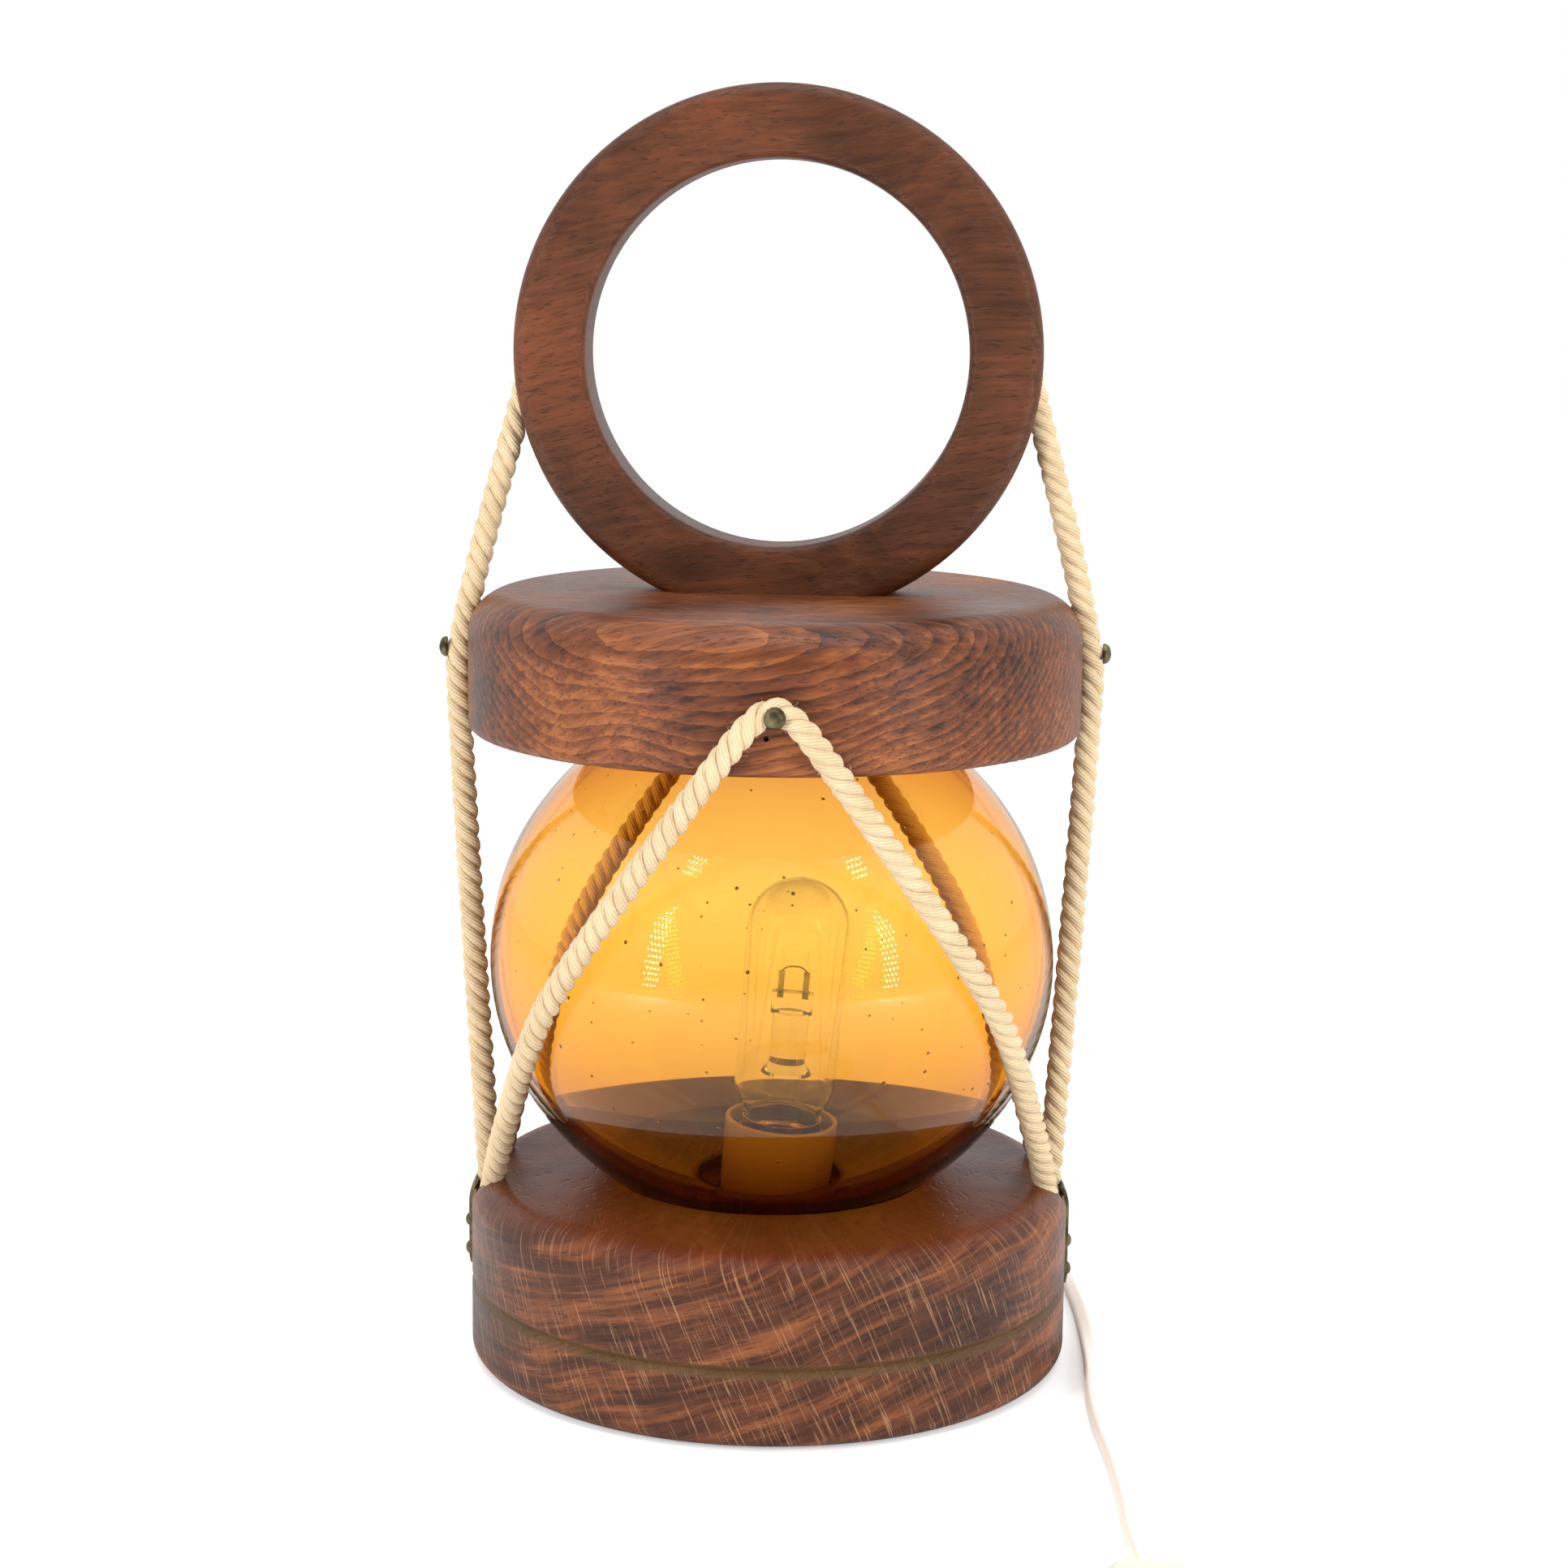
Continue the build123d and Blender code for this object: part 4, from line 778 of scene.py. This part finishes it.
def blend(tree, factor, under, over, share=1.0):
    """Lay one colour over another by a 0 to 1 factor."""
    much = add(tree, "ShaderNodeMath", {0: factor, 1: share}, operation="MULTIPLY")
    mix = add(tree, "ShaderNodeMix", {"Factor": much}, data_type="RGBA")
    tree.links.new(under, mix.inputs["A"])
    mix.inputs["B"].default_value = colour(over)
    return mix.outputs["Result"]


def between(tree, value, low, high):
    return add(tree, "ShaderNodeMapRange", {"Value": value, "From Min": low,
        "From Max": high}).outputs[0]


RAY_SLANT = math.tan(math.radians(24))
SIDE_R = 0.0995
HEART_AWAY = 0.30
RING_STEP = 0.0030
WAVE_UNIT = 0.314  # how far apart a wave texture of scale 1 repeats


def stained_wood(name, turn, light, mid, dark, shares, seed, layered=False, gloss=0.38,
        sheen=0.36):
    """One board.  turn sets the grain's direction, shares weigh patch, band, line and ring."""
    made, tree, out = material(name)
    place = add(tree, "ShaderNodeTexCoord").outputs["Object"]
    board = add(tree, "ShaderNodeMapping", {"Vector": place, "Location": (seed, 0, 0),
        "Rotation": [math.radians(a) for a in turn]}).outputs[0]
    warp = add(tree, "ShaderNodeTexNoise", {"Vector": board, "Scale": 8.0, "Detail": 2.0})
    shift = add(tree, "ShaderNodeVectorMath", {0: warp.outputs["Color"], 1: (0.5, 0.5, 0.5)},
        operation="SUBTRACT")
    shift = add(tree, "ShaderNodeVectorMath", {0: shift, "Scale": 0.035}, operation="SCALE")
    bent = add(tree, "ShaderNodeVectorMath", {0: board, 1: shift}, operation="ADD").outputs[0]
    patch = add(tree, "ShaderNodeTexNoise", {"Vector": board, "Scale": 16.0, "Detail": 3.0,
        "Roughness": 0.6}).outputs[0]
    band = stretched(tree, bent, 20.0, 210.0, deep=20.0 * layered)
    line = stretched(tree, bent, 22.0, 520.0, 3.0, 0.6, 22.0 * layered)
    pore = between(tree, stretched(tree, bent, 170.0, 1500.0, 2.0, 0.6, 170.0 * layered), 0.57,
        0.68)
    heart = add(tree, "ShaderNodeMapping", {"Vector": bent, "Location": (0, HEART_AWAY,
        -HEART_AWAY)}).outputs[0]
    ring = add(tree, "ShaderNodeTexWave", {"Vector": heart, "Scale": WAVE_UNIT / RING_STEP,
        "Distortion": 1.6, "Detail": 2.0, "Detail Scale": 1.5}, wave_type="RINGS",
        rings_direction="X", wave_profile="SAW").outputs["Fac"]
    level = 0.0
    for value, share in zip((patch, band, line, ring), shares):
        level = add(tree, "ShaderNodeMath", {0: value, 1: share, 2: level},
            operation="MULTIPLY_ADD").outputs[0]
    middle = sum(shares) / 2
    tone = between(tree, level, middle - 0.21, middle + 0.21)
    stain = add(tree, "ShaderNodeValToRGB", {"Fac": tone})
    stain.color_ramp.elements[0].position = 0.05
    stain.color_ramp.elements[0].color = colour(dark)
    stain.color_ramp.elements[1].position = 0.95
    stain.color_ramp.elements[1].color = colour(light)
    stain.color_ramp.elements.new(0.5).color = colour(mid)
    surface = blend(tree, pore, stain.outputs[0], "#24110a", 0.6)
    if layered:
        # Rays: pale threads 0.4 mm wide and some 12 mm long, which wind steeply
        # round the side.  Below, the dark line in the groove.
        spread = add(tree, "ShaderNodeSeparateXYZ", {0: place})
        height = spread.outputs["Z"]
        around = add(tree, "ShaderNodeMath", {0: spread.outputs["X"], 1: spread.outputs["Y"]},
            operation="ARCTAN2")
        twist = add(tree, "ShaderNodeMath", {0: height, 1: -RAY_SLANT / SIDE_R, 2: around},
            operation="MULTIPLY_ADD")
        east = add(tree, "ShaderNodeMath", {0: add(tree, "ShaderNodeMath", {0: twist},
            operation="COSINE").outputs[0], 1: SIDE_R}, operation="MULTIPLY")
        north = add(tree, "ShaderNodeMath", {0: add(tree, "ShaderNodeMath", {0: twist},
            operation="SINE").outputs[0], 1: SIDE_R}, operation="MULTIPLY")
        wound = add(tree, "ShaderNodeCombineXYZ", {"X": height, "Y": east, "Z": north})
        ray = between(tree, stretched(tree, wound.outputs[0], 62.0, 1700.0, 1.0), 0.59, 0.69)
        surface = blend(tree, ray, surface, "#bd8f69", 0.45)
        off = add(tree, "ShaderNodeMath", {0: height, 1: 0.0255}, operation="SUBTRACT")
        off = add(tree, "ShaderNodeMath", {0: off}, operation="ABSOLUTE").outputs[0]
        surface = blend(tree, between(tree, off, 0.0026, 0.0017), surface, "#5e4628", 0.75)
        # Painted light: the top, under the globe, is tinted a darker red that stands in for the
        # amber light the globe casts on it.
        surface = blend(tree, between(tree, height, 0.055, 0.0608), surface, "#66270b", 0.7)
    rough = add(tree, "ShaderNodeMapRange", {"Value": patch, "From Min": 0.3, "From Max": 0.7,
        "To Min": gloss - 0.06, "To Max": gloss + 0.12})
    grain = add(tree, "ShaderNodeBump", {"Strength": 0.25, "Distance": 0.0003, "Height": line})
    pits = add(tree, "ShaderNodeBump", {"Strength": 0.5, "Distance": 0.0003, "Height": pore,
        "Normal": grain}, invert=True)
    shader = add(tree, "ShaderNodeBsdfPrincipled", {"Base Color": surface, "Roughness": rough,
        "IOR": 1.5, "Normal": pits, "Specular IOR Level": sheen})
    tree.links.new(shader.outputs[0], out.inputs["Surface"])
    return made


base_wood = stained_wood("stained hardwood of the base", (0, 18, 0), "#8f502a", "#522a17",
    "#26120a", (0.32, 0.62, 0.38, 0.0), 0.31, layered=True)
disc_wood = stained_wood("stained hardwood of the disc", (20, 12, 8), "#a2602f", "#713a1d",
    "#2f160a", (0.75, 0.26, 0.42, 0.15), 0.77, sheen=0.42)
ring_wood = stained_wood("stained hardwood of the ring", (0, 6, 0), "#7a4228", "#56301c",
    "#2a140b", (0.62, 0.12, 0.30, 0.04), 1.90, gloss=0.40, sheen=0.32)
for node, wood in (("base_block", base_wood), ("top_disc", disc_wood), ("ring_handle", ring_wood)):
    nodes[node].data.materials.clear()
    nodes[node].data.materials.append(wood)
print("wood on base_block, top_disc and ring_handle")

# %% [markdown]
# The small metal is old brass.  Straps are cut from thin strip, nail heads
# are hammered domes.  Brass that has been handled goes brown in the hollows
# and stays bright on the high spots, so a slow noise mixes the two, and the
# roughness follows.
# %% Aged brass


def brushed_metal(name, bright, dull, rough_low, rough_high, scale=160.0):
    made, tree, out = material(name)
    place = add(tree, "ShaderNodeTexCoord")
    wear = add(tree, "ShaderNodeTexNoise", {"Vector": place.outputs["Object"], "Scale": scale,
        "Detail": 4.0, "Roughness": 0.6})
    fine = add(tree, "ShaderNodeTexNoise", {"Vector": place.outputs["Object"], "Scale": scale * 9,
        "Detail": 2.0})
    share = add(tree, "ShaderNodeMapRange", {"Value": wear, "From Min": 0.36, "From Max": 0.64})
    skin = add(tree, "ShaderNodeMix", {"Factor": share}, data_type="RGBA")
    skin.inputs["A"].default_value = colour(dull)
    skin.inputs["B"].default_value = colour(bright)
    rough = add(tree, "ShaderNodeMapRange", {"Value": wear, "To Min": rough_high,
        "To Max": rough_low})
    dents = add(tree, "ShaderNodeBump", {"Strength": 0.3, "Distance": 0.0002, "Height": fine})
    shader = add(tree, "ShaderNodeBsdfPrincipled", {"Base Color": skin.outputs["Result"],
        "Metallic": 1.0, "Roughness": rough, "Normal": dents})
    tree.links.new(shader.outputs[0], out.inputs["Surface"])
    return made


aged_brass = brushed_metal("aged brass", "#8d8061", "#4a4231", 0.28, 0.5)
plain_brass = brushed_metal("plain brass", "#d8b56a", "#b38d46", 0.22, 0.35)
zinc_steel = brushed_metal("zinc plated steel", "#b9babb", "#8d8f92", 0.28, 0.42)
nickel = brushed_metal("nickel plated brass", "#c9c4b6", "#a7a294", 0.18, 0.3)

# %% [markdown]
# Nail heads repeat, so a tree makes them: a small sphere is flattened into a
# dome, dented by noise, and set on a point for each nail, facing outwards.
# The four on the disc are larger than the four on the straps.
# %% Nail heads


def nail_tree():
    tree = bpy.data.node_groups.new("Nail heads", "GeometryNodeTree")
    tree.interface.new_socket(name="Geometry", in_out="INPUT", socket_type="NodeSocketGeometry")
    group_input(tree, "Head radius", "NodeSocketFloat", 0.00335)
    group_input(tree, "Head height", "NodeSocketFloat", 0.0022)
    group_input(tree, "Dent depth", "NodeSocketFloat", 0.00022)
    group_input(tree, "Seed", "NodeSocketInt", 2)
    group_input(tree, "Material", "NodeSocketMaterial", None)
    tree.interface.new_socket(name="Geometry", in_out="OUTPUT", socket_type="NodeSocketGeometry")
    given = add(tree, "NodeGroupInput").outputs
    ball = add(tree, "GeometryNodeMeshUVSphere", {"Segments": 28, "Rings": 18, "Radius": 1.0})
    place = add(tree, "GeometryNodeInputPosition")
    split = add(tree, "ShaderNodeSeparateXYZ", {0: place})
    # The underside is pressed almost flat, and the rim is left rounded.
    under = add(tree, "ShaderNodeMath", {0: split.outputs["Z"], 1: -0.22}, operation="MAXIMUM")
    high = add(tree, "ShaderNodeMath", {0: under, 1: given["Head height"]}, operation="MULTIPLY")
    wide_x = add(tree, "ShaderNodeMath", {0: split.outputs["X"], 1: given["Head radius"]},
        operation="MULTIPLY")
    wide_y = add(tree, "ShaderNodeMath", {0: split.outputs["Y"], 1: given["Head radius"]},
        operation="MULTIPLY")
    dome = add(tree, "ShaderNodeCombineXYZ", {"X": wide_x, "Y": wide_y, "Z": high})
    shaped = add(tree, "GeometryNodeSetPosition", {"Geometry": ball, "Position": dome})
    planted = add(tree, "GeometryNodeInstanceOnPoints", {"Points": add(tree,
        "GeometryNodeMeshToPoints", {"Mesh": given["Geometry"]}).outputs[0], "Instance": shaped})
    facing = add(tree, "GeometryNodeInputNamedAttribute", {"Name": "facing"},
        data_type="FLOAT_VECTOR")
    aligned = add(tree, "FunctionNodeAlignRotationToVector", {"Vector": facing}, axis="Z")
    tree.links.new(aligned.outputs[0], planted.inputs["Rotation"])
    real = add(tree, "GeometryNodeRealizeInstances", {"Geometry": planted})
    hammer = add(tree, "ShaderNodeTexNoise", {"W": given["Seed"], "Scale": 620.0, "Detail": 1.0},
        noise_dimensions="4D")
    centred = add(tree, "ShaderNodeMath", {0: hammer, 1: 0.5}, operation="SUBTRACT")
    depth = add(tree, "ShaderNodeMath", {0: centred, 1: given["Dent depth"]}, operation="MULTIPLY")
    normal = add(tree, "GeometryNodeInputNormal")
    push = add(tree, "ShaderNodeVectorMath", {0: normal, "Scale": depth}, operation="SCALE")
    dented = add(tree, "GeometryNodeSetPosition", {"Geometry": real, "Offset": push})
    smooth = add(tree, "GeometryNodeSetShadeSmooth", {"Geometry": dented})
    painted = add(tree, "GeometryNodeSetMaterial", {"Geometry": smooth,
        "Material": given["Material"]})
    add(tree, "NodeGroupOutput", {"Geometry": painted})
    return tree


def nail_heads(name, spots, values):
    """Heads at (place, outward way) spots, by the tree."""
    data = bpy.data.meshes.new(name + "_spots")
    data.from_pydata([tuple(p) for p, _ in spots], [], [])
    ways = data.attributes.new("facing", "FLOAT_VECTOR", "POINT")
    ways.data.foreach_set("vector", [c for _, way in spots for c in way])
    base = bpy.data.objects.new(name + "_spots", data)
    scene.collection.objects.link(base)
    return grow(name, base, nail_maker, values)


nail_maker = nail_tree()
disc_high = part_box("disc_nails")[1]
over_rope = 0.1 + 0.007 + 0.0006
disc_spots = [(Vector((s * over_rope, 0, 0.2355)), (s, 0, 0)) for s in (-1, 1)]
disc_spots += [(Vector((0, s * over_rope, 0.2293)), (0, s, 0)) for s in (-1, 1)]
disc_heads = nail_heads("disc_nail_heads", disc_spots, {"Material": aged_brass})
over_strap = 0.0995 + 0.0011
strap_spots = []
for side, tip in ((-1, 0.026), (1, 0.021)):
    for step in (0.0054, 0.0152):
        strap_spots.append((Vector((side * over_strap, 0, tip + step)), (side, 0, 0)))
strap_heads = nail_heads("strap_nail_heads", strap_spots, {"Head radius": 0.0022,
    "Head height": 0.0015, "Dent depth": 0.00014, "Seed": 9, "Material": aged_brass})
print("nail heads", len(disc_spots), "and", len(strap_spots), "nails reach",
    [round(x, 4) for x in disc_high])

# %% [markdown]
# The rest are bought parts: moulded plastic, rubber, felt and clear glass.
# Moulded plastic is smooth with a faint ripple, ceramics and black glass are
# glossier, and felt is a mat of fine fibres.
# %% Plain finishes


def moulded(name, shade, rough, ripple=0.15, scale=400.0, **more):
    """Plastic, rubber or glaze: one shade with a slight mottle and a fine surface ripple."""
    made, tree, out = material(name)
    place = add(tree, "ShaderNodeTexCoord")
    noise = add(tree, "ShaderNodeTexNoise", {"Vector": place.outputs["Object"], "Scale": scale,
        "Detail": 2.0})
    slow = add(tree, "ShaderNodeTexNoise", {"Vector": place.outputs["Object"], "Scale": 30.0,
        "Detail": 1.0})
    skin = add(tree, "ShaderNodeMix", {"Factor": slow}, data_type="RGBA")
    skin.inputs["A"].default_value = tuple(c * 0.93 for c in colour(shade)[:3]) + (1.0,)
    skin.inputs["B"].default_value = tuple(min(1, c * 1.04) for c in colour(shade)[:3]) + (1.0,)
    bump = add(tree, "ShaderNodeBump", {"Strength": ripple, "Distance": 0.0001, "Height": noise})
    values = {"Base Color": skin.outputs["Result"], "Roughness": rough, "Normal": bump, **more}
    shader = add(tree, "ShaderNodeBsdfPrincipled", values)
    tree.links.new(shader.outputs[0], out.inputs["Surface"])
    return made


def clear_glass(name):
    made, tree, out = material(name)
    place = add(tree, "ShaderNodeTexCoord")
    wave = add(tree, "ShaderNodeTexNoise", {"Vector": place.outputs["Object"], "Scale": 60.0})
    bump = add(tree, "ShaderNodeBump", {"Strength": 0.1, "Distance": 0.0003, "Height": wave})
    shader = add(tree, "ShaderNodeBsdfPrincipled", {"Base Color": (1, 1, 1, 1), "Roughness": 0.0,
        "IOR": 1.5, "Transmission Weight": 1.0, "Normal": bump})
    tree.links.new(shader.outputs[0], out.inputs["Surface"])
    return made


flex_pvc = moulded("ivory PVC", "#f4e6da", 0.42)
ivory_shell = moulded("ivory moulded plastic", "#efe4d2", 0.32)
cream_shell = moulded("cream moulded plastic", "#ecd9ae", 0.35)
soft_rubber = moulded("ivory rubber", "#e9ded0", 0.6, ripple=0.3)
core_dark = moulded("dark phenolic moulding", "#2b1a12", 0.4)
black_glass = moulded("fused black glass", "#0a0a0a", 0.12)
grip_nylon = moulded("nylon grip", "#d9d4c8", 0.5)
brown_pvc = moulded("brown insulation", "#4a2a18", 0.45)
blue_pvc = moulded("blue insulation", "#1d4f9e", 0.45)
solder = moulded("solder", "#a9aaab", 0.45, Metallic=1.0)
green_felt = moulded("wool felt", "#25392c", 0.95, ripple=0.9, scale=2500.0)
lamp_glass = clear_glass("clear lamp glass")

finishes = {
    aged_brass: ("strap_left", "strap_right"),
    zinc_steel: ("ring_screws", "holder_nipple", "nipple_washer", "nipple_nut", "grip_screws",
        "rocker_pin", "switch_screws", "bulb_leads", "bulb_filament"),
    cream_shell: ("holder_cap", "holder_shell"),
    core_dark: ("holder_core",),
    plain_brass: ("holder_thread", "holder_contact", "bulb_cap", "switch_contacts"),
    solder: ("bulb_contact",),
    black_glass: ("bulb_insulator",),
    lamp_glass: ("bulb_glass", "bulb_stem"),
    soft_rubber: ("cord_relief",),
    flex_pvc: ("cord_tail",),
    grip_nylon: ("cord_grip",),
    brown_pvc: ("wire_live",),
    blue_pvc: ("wire_neutral",),
    ivory_shell: ("switch_base", "switch_cover", "switch_rocker", "plug_body"),
    nickel: ("plug_pins",),
    green_felt: ("base_felt",),
}
for finish, names in finishes.items():
    for node in names:
        nodes[node].data.materials.clear()
        nodes[node].data.materials.append(finish)
lead.data.materials.append(flex_pvc)
mains.data.materials.append(flex_pvc)
print("finishes on", sum(len(v) for v in finishes.values()), "CAD pieces")

# %% [markdown]
# Last, each new piece is hung on the body it rides on, and the CAD nodes that
# the globe, the nails, the cord and the ropes stand for are hidden.  Each row
# of the table names the piece, those nodes, and the slot of the record that
# its finish belongs to.  The lint rides on the same body.
# %% Who rides on what
for piece, names, slot in (
    (globe, ("glass_globe",), "amber_glass"),
    (disc_heads, ("disc_nails",), "aged_brass"),
    (strap_heads, ("strap_nails",), "aged_brass"),
    (lead, ("cord_lead",), "cord_pvc"),
    (mains, ("cord_to_coil", "cord_coil", "cord_to_plug"), "cord_pvc"),
):
    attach(piece, "lantern")
    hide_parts(*names)
for node, (piece, line) in ropes.items():
    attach(piece, "lantern")
    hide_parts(node)
for piece in lint:
    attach(piece, "lantern")
